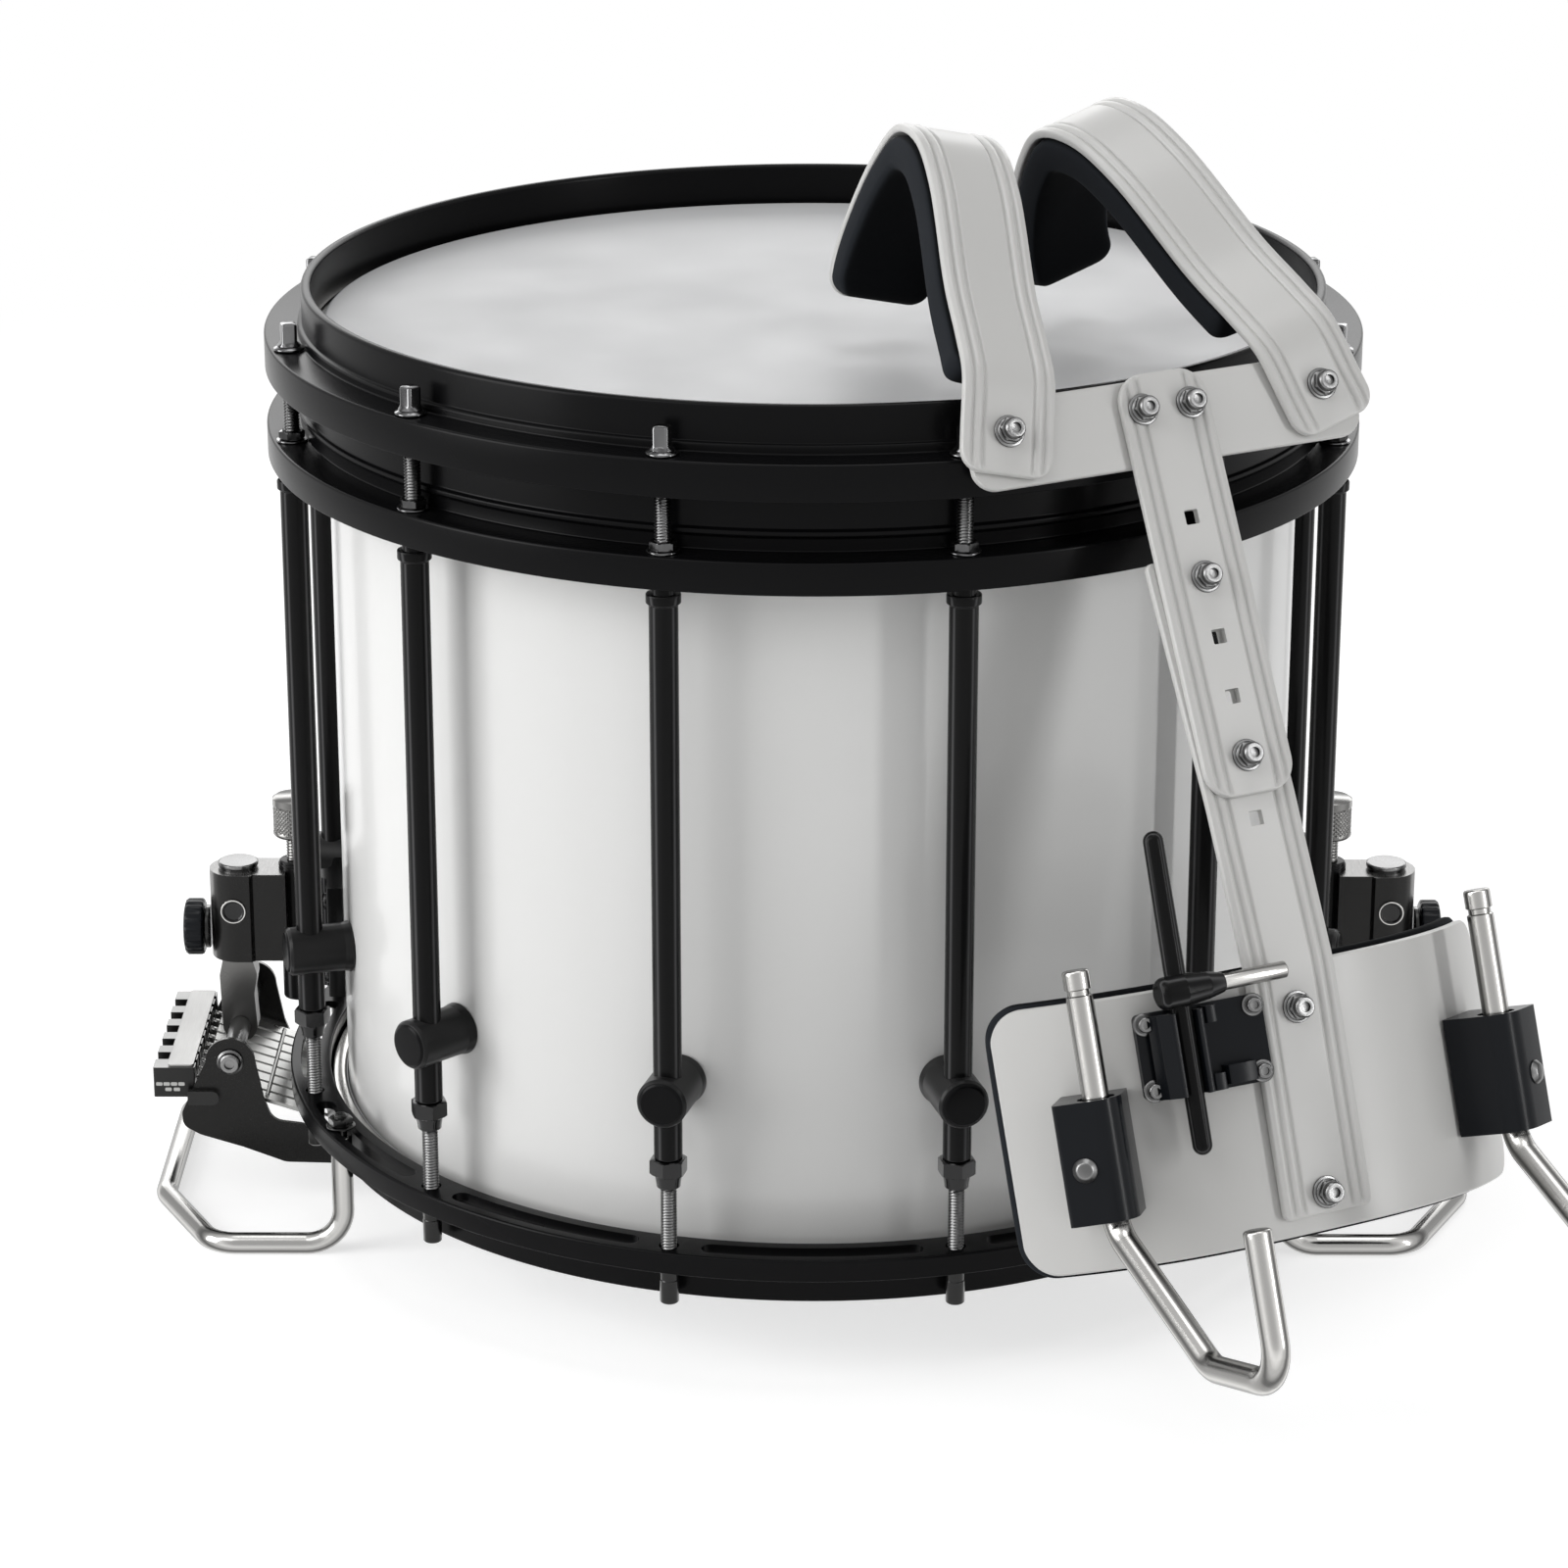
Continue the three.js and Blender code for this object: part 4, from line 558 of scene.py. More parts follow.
def makeFloor():
    half, level = studio["floorSize"] / 2, studio["floorLevel"] * mm
    mesh = bpy.data.meshes.new("floor")
    corners = [(-half, -half, level), (half, -half, level), (half, half, level), (-half, half, level)]
    mesh.from_pydata(corners, [], [(0, 1, 2, 3)])
    mesh.materials.append(floorWhite())
    floor = bpy.data.objects.new("floor", mesh)
    bpy.context.scene.collection.objects.link(floor)


def lightStudio():
    world = bpy.data.worlds.new("studio")
    bpy.context.scene.world = world
    world.use_nodes = True
    tree = world.node_tree
    soft = tree.nodes["Background"]
    soft.inputs["Color"].default_value = white
    soft.inputs["Strength"].default_value = studio["world"]
    plain = addNode(tree, "ShaderNodeBackground", {"Color": white, "Strength": 1.0}).outputs[0]
    seen = whiteToEye(tree, soft.outputs[0], plain)
    tree.links.new(seen, tree.nodes["World Output"].inputs["Surface"])
    for name, place, wide, tall, power in studio["lamps"]:
        lamp = bpy.data.objects.new(name, bpy.data.lights.new(name, "AREA"))
        lamp.data.shape = "RECTANGLE"
        lamp.data.size, lamp.data.size_y, lamp.data.energy = wide, tall, power
        lamp.visible_camera = False
        lamp.location = place
        lamp.rotation_euler = (Vector(studio["aim"]) - Vector(place)).to_track_quat("-Z", "Y").to_euler()
        bpy.context.scene.collection.objects.link(lamp)


makeFloor()
lightStudio()
print("studio ready")

# Drum: shell, heads and hoops
drum = {"radius": 178, "wall": 6, "top": -0.8, "foot": -305.8, "snareFace": -306.6, "rods": 193.4,
        "seat": 178.35}
ringSteps = 240


def makeShell():
    # wall with a bearing edge cut at 45 degrees on both ends
    r, w = drum["radius"], drum["wall"]
    top, foot = drum["top"], drum["foot"]
    loop = lathe([(r, top - 1.2), (r - 1.6, top), (r - w, top - 4.4), (r - w, foot + 4.4), (r - 1.6, foot),
                  (r, foot + 1.2)], 0.5, 3, ringSteps, True)
    piece("shellWall", loop, home, "whiteLacquer", "drum", "white_lacquer", 40, replaces="shell")


def makeHead(name, face, way, node):
    # film: flat to the edge, over it in a small arc and down its side into the flesh hoop; one closed sheet
    # half a millimetre thick
    out = softened([(0, 0), (178.9, 0), (178.9, 12.4)], 1.6, 6, closed=False)
    back = softened([(178.4, 12.4), (178.4, 0.5), (0, 0.5)], 1.2, 6, closed=False)
    film = np.vstack([out[:-1], [[178.9, 12.4]], back])
    film[:, 1] = face - way * film[:, 1]
    inner = np.linspace(0, 170, 24)[1:]
    film = np.vstack([film[:1], np.column_stack([inner, np.full(23, face)]), film[1:]])
    piece(f"{name}Film", turned(film, ringSteps), home, "headFilm", "drum", "head_film", 50, replaces=node)
    hoop = softened(oblong(179.0, 4.3, 184.2, 13.0), 0.9, 4)
    hoop[:, 1] = face - way * hoop[:, 1]
    piece(f"{name}FleshHoop", turned(hoop, ringSteps, True), home, "drawnSteel", "drum", "steel", 40)


def rodHoleTools(level, radius=3.6, tall=8):
    hole = turned(oblong(0, -tall / 2, radius, tall / 2), 20)
    angle = math.radians(15) + np.arange(12) * math.pi / 6
    places = [shift(drum["rods"] * math.sin(a), -drum["rods"] * math.cos(a), level) for a in angle]
    return [joined(*[moved(hole, place) for place in places])]


def slotTools():
    # twelve long slots in the flange: an arc band with round ends, 30 degrees apart
    half, low, high = math.radians(11.6), 189.1, 196.1
    middle, r = (low + high) / 2, (high - low) / 2
    inset = r / middle
    sweep = np.linspace(-half + inset, half - inset, 14)
    turn = np.linspace(0, math.pi, 9)[1:-1]

    def arc(angle, radius, centre=0):
        return np.column_stack([centre * np.sin(sweep[-1]) + radius * np.sin(angle),
                                centre * np.cos(sweep[-1]) + radius * np.cos(angle)])

    farEnd = arc(sweep[-1] + turn, r, middle)
    nearEnd = (farEnd * (-1, 1))[::-1]
    outline = np.vstack([arc(sweep, high), farEnd, arc(sweep[::-1], low), nearEnd])
    return joined(*[moved(plate(outline, -300, -280), about("Z", 30 * k)) for k in range(12)])


def makeHoops():
    paint = "hoopPaint"
    batter = lathe([(182.6, -4), (186.2, -4), (186.2, -5), (198.7, -5), (198.7, -15), (200, -15), (200, -2),
                    (187.7, -2), (187.7, 0.9), (186.2, 1.5), (186.2, 14.5), (182.6, 14.5)],
                   [0.5, 0.3, 0.3, 0.6, 0.4, 0.4, 1.0, 0.6, 1.0, 0.5, 1.5, 1.5], 5, ringSteps, True)
    piece("batterHoopRing", batter, home, paint, "drum", "black_paint", 50, replaces="batter_hoop",
          cutters=rodHoleTools(-3.5))
    ring = lathe([(178.5, -18.5), (178.5, -14.5), (184.8, -14.5), (184.8, -9), (187.5, -9), (187.5, -27.4),
                  (188.9, -28.2), (188.9, -29.8), (187.5, -30.6), (187.5, -35.5), (200, -35.5), (200, -47),
                  (198.7, -47), (198.7, -38.5), (184.8, -38.5), (184.8, -18.5)],
                 [0.3, 0.3, 0.5, 0.8, 0.8, 0.8, 0.8, 0.8, 0.8, 0.6, 1.0, 0.4, 0.4, 0.6, 0.6, 0.6], 5,
                 ringSteps, True)
    piece("floatingRingBand", ring, home, paint, "drum", "black_paint", 50, replaces="floating_ring",
          cutters=rodHoleTools(-37, 4.6))
    snare = lathe([(182.6, -309.8), (187.5, -309.8), (187.5, -291.3), (198.7, -291.3), (198.7, -296.3),
                   (200, -296.3), (200, -288.3), (184.8, -288.3), (184.8, -302.6), (182.6, -302.6)],
                  [0.9, 0.9, 0.4, 0.5, 0.4, 0.4, 1.0, 0.6, 0.6, 0.4], 5, ringSteps, True)
    gates = joined(*[moved(plate(oblong(-8, -38, 8, 38), -312, -303.4), shift(side * 185))
                     for side in (-1, 1)])
    piece("snareHoopRing", snare, home, paint, "drum", "black_paint", 50, replaces="snare_hoop",
          cutters=[slotTools(), gates] + rodHoleTools(-290))


makeShell()
makeHead("batter", 0.0, 1, "batter_head")
makeHead("snare", drum["snareFace"], -1, "snare_head")
makeHoops()
print("shell, heads and hoops made")

# Tension rods and lugs
lug = {"count": 12, "first": 15, "tube": 5, "ferrule": 6, "ferruleTop": -49.7, "ferruleFoot": -53,
       "tubeTop": -53.6, "tubeFoot": -254.6, "bossLevel": -231.5, "boss": 9, "bossFace": 202, "nutFlat": 5.85,
       "nutFoot": -260.7, "collarFoot": -265.5, "washer": -291.6, "rodFoot": -309.9}


def atLug(index):
    # placed by the azimuth from the front towards +X; a lug is drawn with the drum's axis on its -X side
    azimuth = math.radians(lug["first"] + 360 / lug["count"] * index)
    place = shift(drum["rods"] * math.sin(azimuth), -drum["rods"] * math.cos(azimuth), 0)
    return place @ Matrix.Rotation(azimuth - math.pi / 2, 4, "Z")


def makeTensionRod(index):
    place, body = atLug(index), f"rod_{index + 1:02d}"
    washer = lathe([(0, -1.7), (5.6, -1.7), (5.6, -1.0), (3.9, -0.1), (0, -0.1)], [0, 0.3, 0.5, 0.6, 0], 4,
                   40)
    # head: a square with round corners, slightly waisted above its flared foot, and a shallow dome on top
    angle = fullTurn(48)
    square = np.minimum(2.76 / np.maximum(np.abs(np.cos(angle)), np.abs(np.sin(angle))), 3.55)
    level = np.array([-0.1, -0.1, 0.3, 0.9, 1.6, 7.0, 7.6, 7.9, 8.0])
    flare = np.array([0, 1.12, 1.1, 1.02, 1.0, 1.0, 0.93, 0.75, 0])
    collar = np.array([0, 1, 0.8, 0.35, 0, 0, 0, 0, 0])[:, None]
    radius = (square[None] * (1 - collar) + 3.85 * collar) * flare[:, None]
    head = ringStack(radius, angle, level), gridFaces(len(level), len(angle), False, True)
    shown = joined(washer, head)
    piece(f"tensionHead_{index + 1:02d}", shown, place, "rodNickel", body, "dark_chrome", 35,
          replaces=f"tension_rod_{index + 1:02d}")
    piece(f"tensionThread_{index + 1:02d}", threadedRod(3.0, -60.4, -1.6, 1.1, 0.55), place, "threadSteel",
          body, "steel", 60)


def makeLug(index):
    place, number = atLug(index), f"{index + 1:02d}"
    ferrule, shelf, tubeRadius, foot = lug["ferrule"], lug["ferruleTop"], lug["tube"], lug["tubeFoot"]
    tube = lathe([(3.6, -38.9), (4.2, -38.9), (4.2, shelf), (ferrule, shelf), (ferrule, lug["ferruleFoot"]),
                  (tubeRadius, lug["tubeTop"]), (tubeRadius, foot), (3.6, foot)],
                 [0.2, 0.3, 0.2, 0.5, 0.5, 0.4, 0.6, 0.2], 4, 40, True)
    piece(f"lugTube_{number}", tube, place, "tubePaint", "drum", "black_paint", 35, replaces=f"lug_{number}")
    # boss: a short barrel lying on the shell's curve, with a bevelled disc on its outer face
    out = lug["bossFace"] - drum["rods"]
    foot, boss = drum["seat"] - drum["rods"], lug["boss"]
    barrel = lathe([(0, foot), (9.6, foot), (boss, foot + 3), (boss, out - 1.2), (8.2, out), (0, out)],
                   [0, 0.3, 1.5, 0.5, 0.5, 0], 4, 56)
    points, faces = moved(barrel, alongX)
    hug = points[:, 0] < foot + 0.5
    points[hug, 0] += np.sqrt(np.maximum(drum["seat"] ** 2 - points[hug, 1] ** 2, 0)) - drum["seat"] - 0.02
    onBoss = place @ shift(0, 0, lug["bossLevel"])
    piece(f"lugBoss_{number}", (points, faces), onBoss, "bossCast", "drum", "black_paint", 35)
    disc = lathe([(0, out - 0.3), (7.9, out - 0.3), (7.9, out + 0.1), (7.0, out + 0.7), (0, out + 0.75)],
                 [0, 0.1, 0.3, 0.5, 0], 4, 56)
    piece(f"lugDisc_{number}", moved(disc, alongX), onBoss, "hoopPaint", "drum", "black_paint", 35)
    level, collar = lug["nutFoot"], lug["collarFoot"]
    nut = sidedRing(6, lug["nutFlat"], 3.2, level, lug["tubeFoot"] - 0.1, 0.6)
    cone = lathe([(3.1, level), (4.9, level), (4.6, -262.4), (4.25, -264.6), (4.25, collar), (3.1, collar)],
                 0.3, 3, 36, True)
    piece(f"lugNut_{number}", joined(nut, cone), place, "blackNickel", "drum", "dark_chrome", 30)
    piece(f"lowerThread_{number}", threadedRod(2.95, -292, -258, 1.1, 0.55), place, "threadSteel", "drum",
          "steel", 60)
    # lower rod's head: a flared washer against the flange, tapering to a round head with a hexagonal socket
    top, low = lug["washer"], lug["rodFoot"]
    head = lathe([(0, top), (4.2, top), (4.2, -292.6), (3.4, -294.6), (3.2, -300.9), (3.4, -301.2),
                  (3.4, -309.4), (2.9, low), (1.7, low), (1.7, -306.5), (0, -306.5)],
                 [0, 0.2, 0.5, 0.8, 0.2, 0.2, 0.3, 0.2, 0.2, 0.1, 0], 3, 36)
    piece(f"lowerHead_{number}", head, place, "darkSteel", "drum", "steel", 35)
    # nut and washer where the rod enters the ring
    washer = lathe(oblong(3.2, -35.4, 5.6, -34.6), 0.25, 3, 40, True)
    piece(f"ringNut_{number}", joined(washer, sidedRing(6, 4.1, 3.2, -34.6, -31.4, 0.5)), place, "rodNickel",
          "drum", "steel", 30)


for index in range(lug["count"]):
    makeTensionRod(index)
    makeLug(index)
print("tension rods and lugs made")

# Strainers, guards and snares: drawn for the right side, turned half round for the left one
strainer = {"post": 196.8, "postTop": -214.0, "postFoot": -270.0, "block": 218.5, "blockTop": -217.3,
            "blockFoot": -252.3, "blockWide": 11, "neck": 9.4, "pin": (219.8, -231.4),
            "pivot": (219.6, -280.9), "wheelStart": 232.1, "wheelEnd": 239.6, "knobLevel": -241.7,
            "near": 38.6, "far": 40.4, "lobe": 9.3, "combInner": 233.4, "combOuter": 249.2, "combHalf": 38.5,
            "combTop": -284.2, "combFoot": -296.2, "footBar": (175.9, -316.7), "slots": 9, "slotPitch": 8.0,
            "tines": 5, "tineSpan": 33.3}
plateShares = [(-1.3, -1.6), (-1.65, -2.59), (-2.86, -2.75), (-3.61, -3.27), (-5.12, -3.43), (-5.12, -4.13),
               (-4.47, -4.49), (-2.12, -4.43), (-0.42, -3.77), (1.32, -3.22), (2.02, -2.82), (2.04, -2.22)]
strandPlaces = np.arange(strainer["slots"]) * strainer["slotPitch"] - 32


def upright(outline, nearY, farY):
    # an outline drawn in X and Z, with its thickness along Y
    return moved(plate(outline, -farY, -nearY), about("X", 90))


def onBothSides(outline, near, far):
    return joined(*[upright(outline, min(side * near, side * far), max(side * near, side * far))
                    for side in (-1, 1)])


def arcPoints(x, z, radius, fromDegrees, toDegrees, steps=18):
    angle = np.radians(np.linspace(fromDegrees, toDegrees, steps))
    return list(zip(x + radius * np.cos(angle), z + radius * np.sin(angle)))


def bend(corners, radii):
    # an open line of corners, softened, without its first and last point
    return softened(corners, radii, 5, closed=False).tolist()[1:-1]


def knurledKnob(radius, low, high, teeth=30, depth=0.5):
    # radius less a crossed pair of triangle waves over angle and height: diamonds, smooth at both chamfered
    # ends
    angle = fullTurn(teeth * 6)
    level = np.concatenate([[low, low], np.linspace(low + 0.8, high - 0.8, 40), [high, high]])
    a = angle[None] * teeth / (2 * np.pi)
    h = level[:, None] / (2 * np.pi * radius / teeth)
    waves = np.minimum(np.abs(np.mod(a + h, 1) * 2 - 1), np.abs(np.mod(a - h, 1) * 2 - 1))
    inBand = np.clip(np.minimum(level - low - 1.6, high - 3.4 - level) * 2, 0, 1)[:, None]
    r = radius - depth * (1 - waves) * inBand
    r[1], r[-2] = radius - 0.8, radius - 1.2
    r[0], r[-1] = 0, 0
    return ringStack(r, angle, level), gridFaces(len(level), len(angle), False, True)


def strainerPost(add, s):
    # the post's tube in a saddle that lies on the shell, with four screws
    post = lathe(oblong(0, s["postFoot"], 6, s["postTop"]), [0, 0.8, 0.8, 0], 4, 40)
    band = lathe(oblong(5.5, -216.6, 6.35, -215.2), 0.3, 3, 40, True)
    seat = [(math.sqrt(drum["seat"] ** 2 - y * y), y) for y in np.linspace(-17, 17, 30)]
    outer = [(183.9, 17), (183.9, 5.6), (193.6, 3.0), (193.6, -3.0), (183.9, -5.6), (183.9, -17)]
    saddle = softened(seat + outer, [0.3] * 30 + [1.2, 4, 0.3, 0.3, 4, 1.2], 4)
    whole = joined(moved(joined(post, band), shift(s["post"])), plate(saddle, -264, -220))
    add("strainerPost", whole, "tubePaint", "drum", "black_paint", 32, bevel=0.5, replaces="strainer_base")
    screw = lathe([(0, 0), (3.4, 0), (3.2, 1.2), (2.2, 1.9), (1.4, 1.9), (1.4, 1.1), (0, 1.1)],
                  [0, 0.2, 0.5, 0.6, 0.1, 0.1, 0], 3, 28)
    screws = [moved(screw, shift(183.85, y, z) @ alongX) for y in (-11, 11) for z in (-257, -227)]
    add("saddleScrews", joined(*screws), "blackNickel", "drum", "dark_chrome")


def heightKnob(add, s):
    # knurled, flat on top, on a threaded stem
    whole = joined(threadedRod(3.2, -213.7, -203.9, 1.2, 0.4), knurledKnob(7.8, -204.2, -188.4))
    add("heightKnobGrip", moved(whole, shift(s["post"])), "leverSteel", "knob", "steel", 50,
        replaces="height_knob")


def strainerBlock(add, s):
    # straight neck at the post, round outer end, soft edges; a cap on top and a pin from side to side
    neck, wide = s["neck"], s["blockWide"]
    notch = arcPoints(s["post"], 0, 6.3, 61, -61, 16)
    end = arcPoints(s["block"], 0, wide, -90, 90, 30)
    outline = notch + [(199.85, -neck), (212.2, -neck), (213.4, -wide)] + end
    outline += [(213.4, wide), (212.2, neck), (199.85, neck)]
    slot = plate(oblong(212.5, -4.9, 226.6, 4.9), -260, -225.5)
    add("strainerHousing", plate(outline, s["blockFoot"], s["blockTop"]), "gunmetal", "block", "gunmetal", 28,
        bevel=0.9, replaces="strainer_block", cutters=[slot])
    cap = lathe([(0, -218), (7.2, -218), (7.2, -216.4), (7.6, -216.2), (7.6, -215.0), (7.0, -214.7),
                 (0, -214.7)], [0, 0.1, 0.2, 0.2, 0.3, 0.5, 0], 4, 56)
    add("strainerCap", moved(cap, shift(s["block"])), "threadSteel", "block", "gunmetal")
    head = lathe([(0, 10.2), (4.7, 10.2), (4.7, 11.6), (4.2, 11.9), (3.7, 11.9), (3.4, 11.2), (0, 11.2)],
                 [0, 0.1, 0.3, 0.2, 0.2, 0.2, 0], 3, 44)
    eyelet = lathe(oblong(4.1, 11.5, 4.75, 11.85), 0.15, 3, 44, True)
    onPin = [shift(s["pin"][0], 0, s["pin"][1]) @ about("X", turn) for turn in (90, -90)]
    pin = moved(turned(oblong(0, -10.5, 2.6, 10.5), 28), onPin[0])
    add("blockPin", joined(joined(*[moved(head, place) for place in onPin]), pin), "blackNickel", "block",
        "gunmetal")
    add("pinRims", joined(*[moved(eyelet, place) for place in onPin]), "drawnSteel", "block", "gunmetal")


def tensionKnob(add, s):
    # a flat black wheel with a scalloped rim on a steel collar; the wheel stands close to the housing, as
    # pictured
    start, end = s["wheelStart"], s["wheelEnd"]
    around = fullTurn(120)
    level = np.array([start, start, start + 0.5, start + 1.2, end - 1.4, end - 0.5, end, end - 0.5,
                      end - 0.5])
    reach = np.array([0, 9.8, 10.6, 10.8, 10.8, 10.1, 8.2, 7.4, 0])
    share = np.array([0, 0.4, 1, 1, 1, 0.6, 0, 0, 0])
    r = reach[:, None] - 0.35 * np.maximum(np.cos(around * 20), 0)[None] * share[:, None]
    points = ringStack(r, around, level)[:, [2, 0, 1]]
    wheel = moved((points, gridFaces(9, 120, False, True)), shift(z=s["knobLevel"]))
    add("tensionWheel", wheel, "blackPlastic", "screw", "black_plastic", replaces="tension_knob")
    collar = lathe([(0, 229.8), (8.2, 229.8), (8.2, 231.6), (3.4, 231.9), (3.4, 234.4), (0, 234.4)],
                   [0, 0.4, 0.4, 0.1, 0.1, 0], 3, 48)
    add("tensionStem", moved(moved(collar, alongX), shift(z=s["knobLevel"])), "darkSteel", "screw", "steel")


def strainerArm(add, s):
    # an eye on the pin, shoulders below the block, straight flanks and a round foot on the bolt
    (px, pz), (qx, qz) = s["pin"], s["pivot"]
    inner = [(px - 5.4, pz), (px - 5.4, -252.8), (qx - 7.2, -260), (qx - 5.8, -267.7), (qx - 6.6, qz)]
    outer = [(qx + 6.6, qz), (qx + 7.2, -261.1), (qx + 7.2, -260), (px + 5.4, -252.8), (px + 5.4, pz)]
    outline = arcPoints(px, pz, 5.4, 0, 180, 16) + bend(inner, [0, 2, 6, 8, 0])
    outline += arcPoints(qx, qz, 6.6, 180, 360, 20) + bend(outer, [0, 1, 4, 2, 0])
    eye = upright([(px + 3.1 * math.cos(a), pz + 3.1 * math.sin(a)) for a in fullTurn(30)], -9, 9)
    add("strainerLever", upright(outline, -4.6, 4.6), "leverSteel", "arm", "steel", 30, bevel=0.8,
        replaces="strainer_arm", cutters=[eye])
    head = lathe([(0, 40.7), (5, 40.7), (5, 41.3), (4.2, 41.7), (3.9, 43.1), (3.3, 43.7), (1.9, 43.7),
                  (1.9, 42.3), (0, 42.3)], [0, 0.2, 0.2, 0.2, 0.3, 0.4, 0.1, 0.1, 0], 3, 40)
    onPivot = [shift(qx, 0, qz) @ about("X", turn) for turn in (90, -90)]
    rod = turned(oblong(0, -41, 2.5, 41), 28)
    sleeves = [lathe(oblong(2.6, low, 4.0, high), 0.3, 3, 32, True) for low,
               high in ((4.9, 38.3), (-38.3, -4.9))]
    bolt = [moved(head, place) for place in onPivot] + [moved(part, onPivot[0]) for part in [rod] + sleeves]
    add("pivotBolt", joined(*bolt), "threadSteel", "arm", "steel")


def strandCradle(add, s):
    # two side plates with a pressed tab, a slotted comb between them and a bar at their feet
    (qx, qz), lobe, half = s["pivot"], s["lobe"], s["combHalf"]
    corners = [(qx + out * lobe, qz + up * lobe) for out, up in plateShares]
    lower = bend([(qx - lobe, qz)] + corners + [(qx + lobe, qz)], [0, 4, 6, 2.5, 4, 2.5, 3, 3, 8, 8, 5, 4.5,
                                                                   4.5, 0])
    plates = onBothSides(arcPoints(qx, qz, lobe, 0, 180, 26) + lower, s["near"], s["far"])
    add("cradlePlates", plates, "gunmetal", "arm", "gunmetal", 28, bevel=0.35, replaces="strand_cradle")
    tab = softened(oblong(qx + 4.6, qz - 11.4, qx + 16.4, qz - 17.0), [2.4, 0.6, 0.6, 2.4], 5)
    tabs = joined(upright(tab, -41.2, -40.3), upright(tab, 40.3, 42.6))
    x, z = s["footBar"]
    foot = lathe(oblong(0, -38.7, 2.6, 38.7), 0, 1, 28)
    whole = joined(tabs, moved(foot, shift(x, 0, z) @ about("X", 90)))
    add("cradleTabs", whole, "darkSteel", "arm", "gunmetal", 28, bevel=0.7)
    inner, outer, top, low = s["combInner"], s["combOuter"], s["combTop"], s["combFoot"]
    comb = plate(softened(oblong(inner, -half, outer, half), 0.8, 3), low, top)
    pocket = plate(oblong(inner + 2.2, -33.6, inner + 8.4, 33.6), top - 8.1, top + 3)
    lips = [plate(oblong(inner - 2, y - 1.3, inner + 3, y + 1.3), top - 7.8, top + 4) for y in strandPlaces]
    step = 2 * s["tineSpan"] / s["tines"]
    tines = [plate(oblong(outer - 5, y - step / 4, outer + 2, y + step / 4), top - 7.8, top + 5)
             for y in (np.arange(s["tines"]) - 2) * step]
    add("cradleComb", comb, "combSteel", "arm", "gunmetal", 28, bevel=0.3,
        cutters=(pocket, joined(*lips), joined(*tines)))
    # a light cover over the comb's pocket, and the band's cut ends in the comb's two end faces
    cover = plate(softened(oblong(inner + 0.6, -37.6, outer - 5.6, 37.6), 1.2, 4), top + 0.05, top + 0.85)
    add("combCover", cover, "coverSteel", "arm", "gunmetal", 28, bevel=0.2)
    dash = softened(oblong(-1.2, -0.7, 1.2, 0.7), 0.4, 3)
    rows = ((5.4, (238.6, 241.4, 244.2, 247.0)), (3.2, (240.4, 243.6)))
    tips = [upright(dash + (x, low + z), *sorted((side * 38.35, side * 38.7)))
            for side in (-1, 1) for z, row in rows for x in row]
    add("strandTips", joined(*tips), "strandSteel", "arm", "strand_wire", 28)


def makeStrainer(name, turnAbout):
    def add(label, surface, look, part, slot, corner=35, replaces=None, **more):
        body = part if part == "drum" else f"{part}_{name}"
        node = replaces and f"{replaces}_{name}"
        piece(f"{label}_{name}", surface, about("Z", turnAbout), look, body, slot, corner, replaces=node,
              **more)

    for make in (strainerPost, heightKnob, strainerBlock, tensionKnob, strainerArm, strandCradle):
        make(add, strainer)


guard = {"level": -335.4, "flat": -338.9, "leg": 174, "legTop": -291.6, "halfLeg": 84.5, "knee": 223,
         "out": 246, "halfOut": 40, "radius": 4, "bend": 14}


def makeGuard(side, name):
    g, bar = guard, guard["level"]
    half = [(g["leg"], g["halfLeg"], g["legTop"]), (g["leg"], g["halfLeg"], bar),
            (g["knee"], g["halfLeg"], bar), (g["out"], g["halfOut"], bar)]
    corners = [(side * x, -y, z) for x, y, z in half] + [(side * x, y, z) for x, y, z in half[::-1]]
    points, faces = bentRod(corners, g["radius"], g["bend"], 32, 0.4, 3)
    points[:, 2] = np.maximum(points[:, 2], g["flat"])
    piece(f"guardBar_{name}", (points, faces), home, "guardSteel", "drum", "steel", 40,
          replaces=f"guard_{name}")
    washer = lathe(oblong(2.2, -288.0, 5.4, -287.2), 0.25, 3, 36, True)
    nut = sidedRing(6, 4.0, 2.2, -287.2, -284.2, 0.5)
    stud = lathe([(0, -292), (2.3, -292), (2.3, -283.2), (1.7, -282.8), (0, -282.8)], [0, 0, 0.3, 0.2, 0], 3,
                 24)
    fastening = joined(washer, nut, stud)
    both = [moved(fastening, shift(side * g["leg"], end * g["halfLeg"], 0)) for end in (-1, 1)]
    piece(f"guardNuts_{name}", joined(*both), home, "darkSteel", "drum", "steel", 32)


strand = {"level": -307.55, "bend": 181, "end": 236.9, "endLevel": -289.1, "radius": 0.65,
          "ribbon": (192, 231), "ribbonHalf": 3.1, "ribbonThick": 0.75}


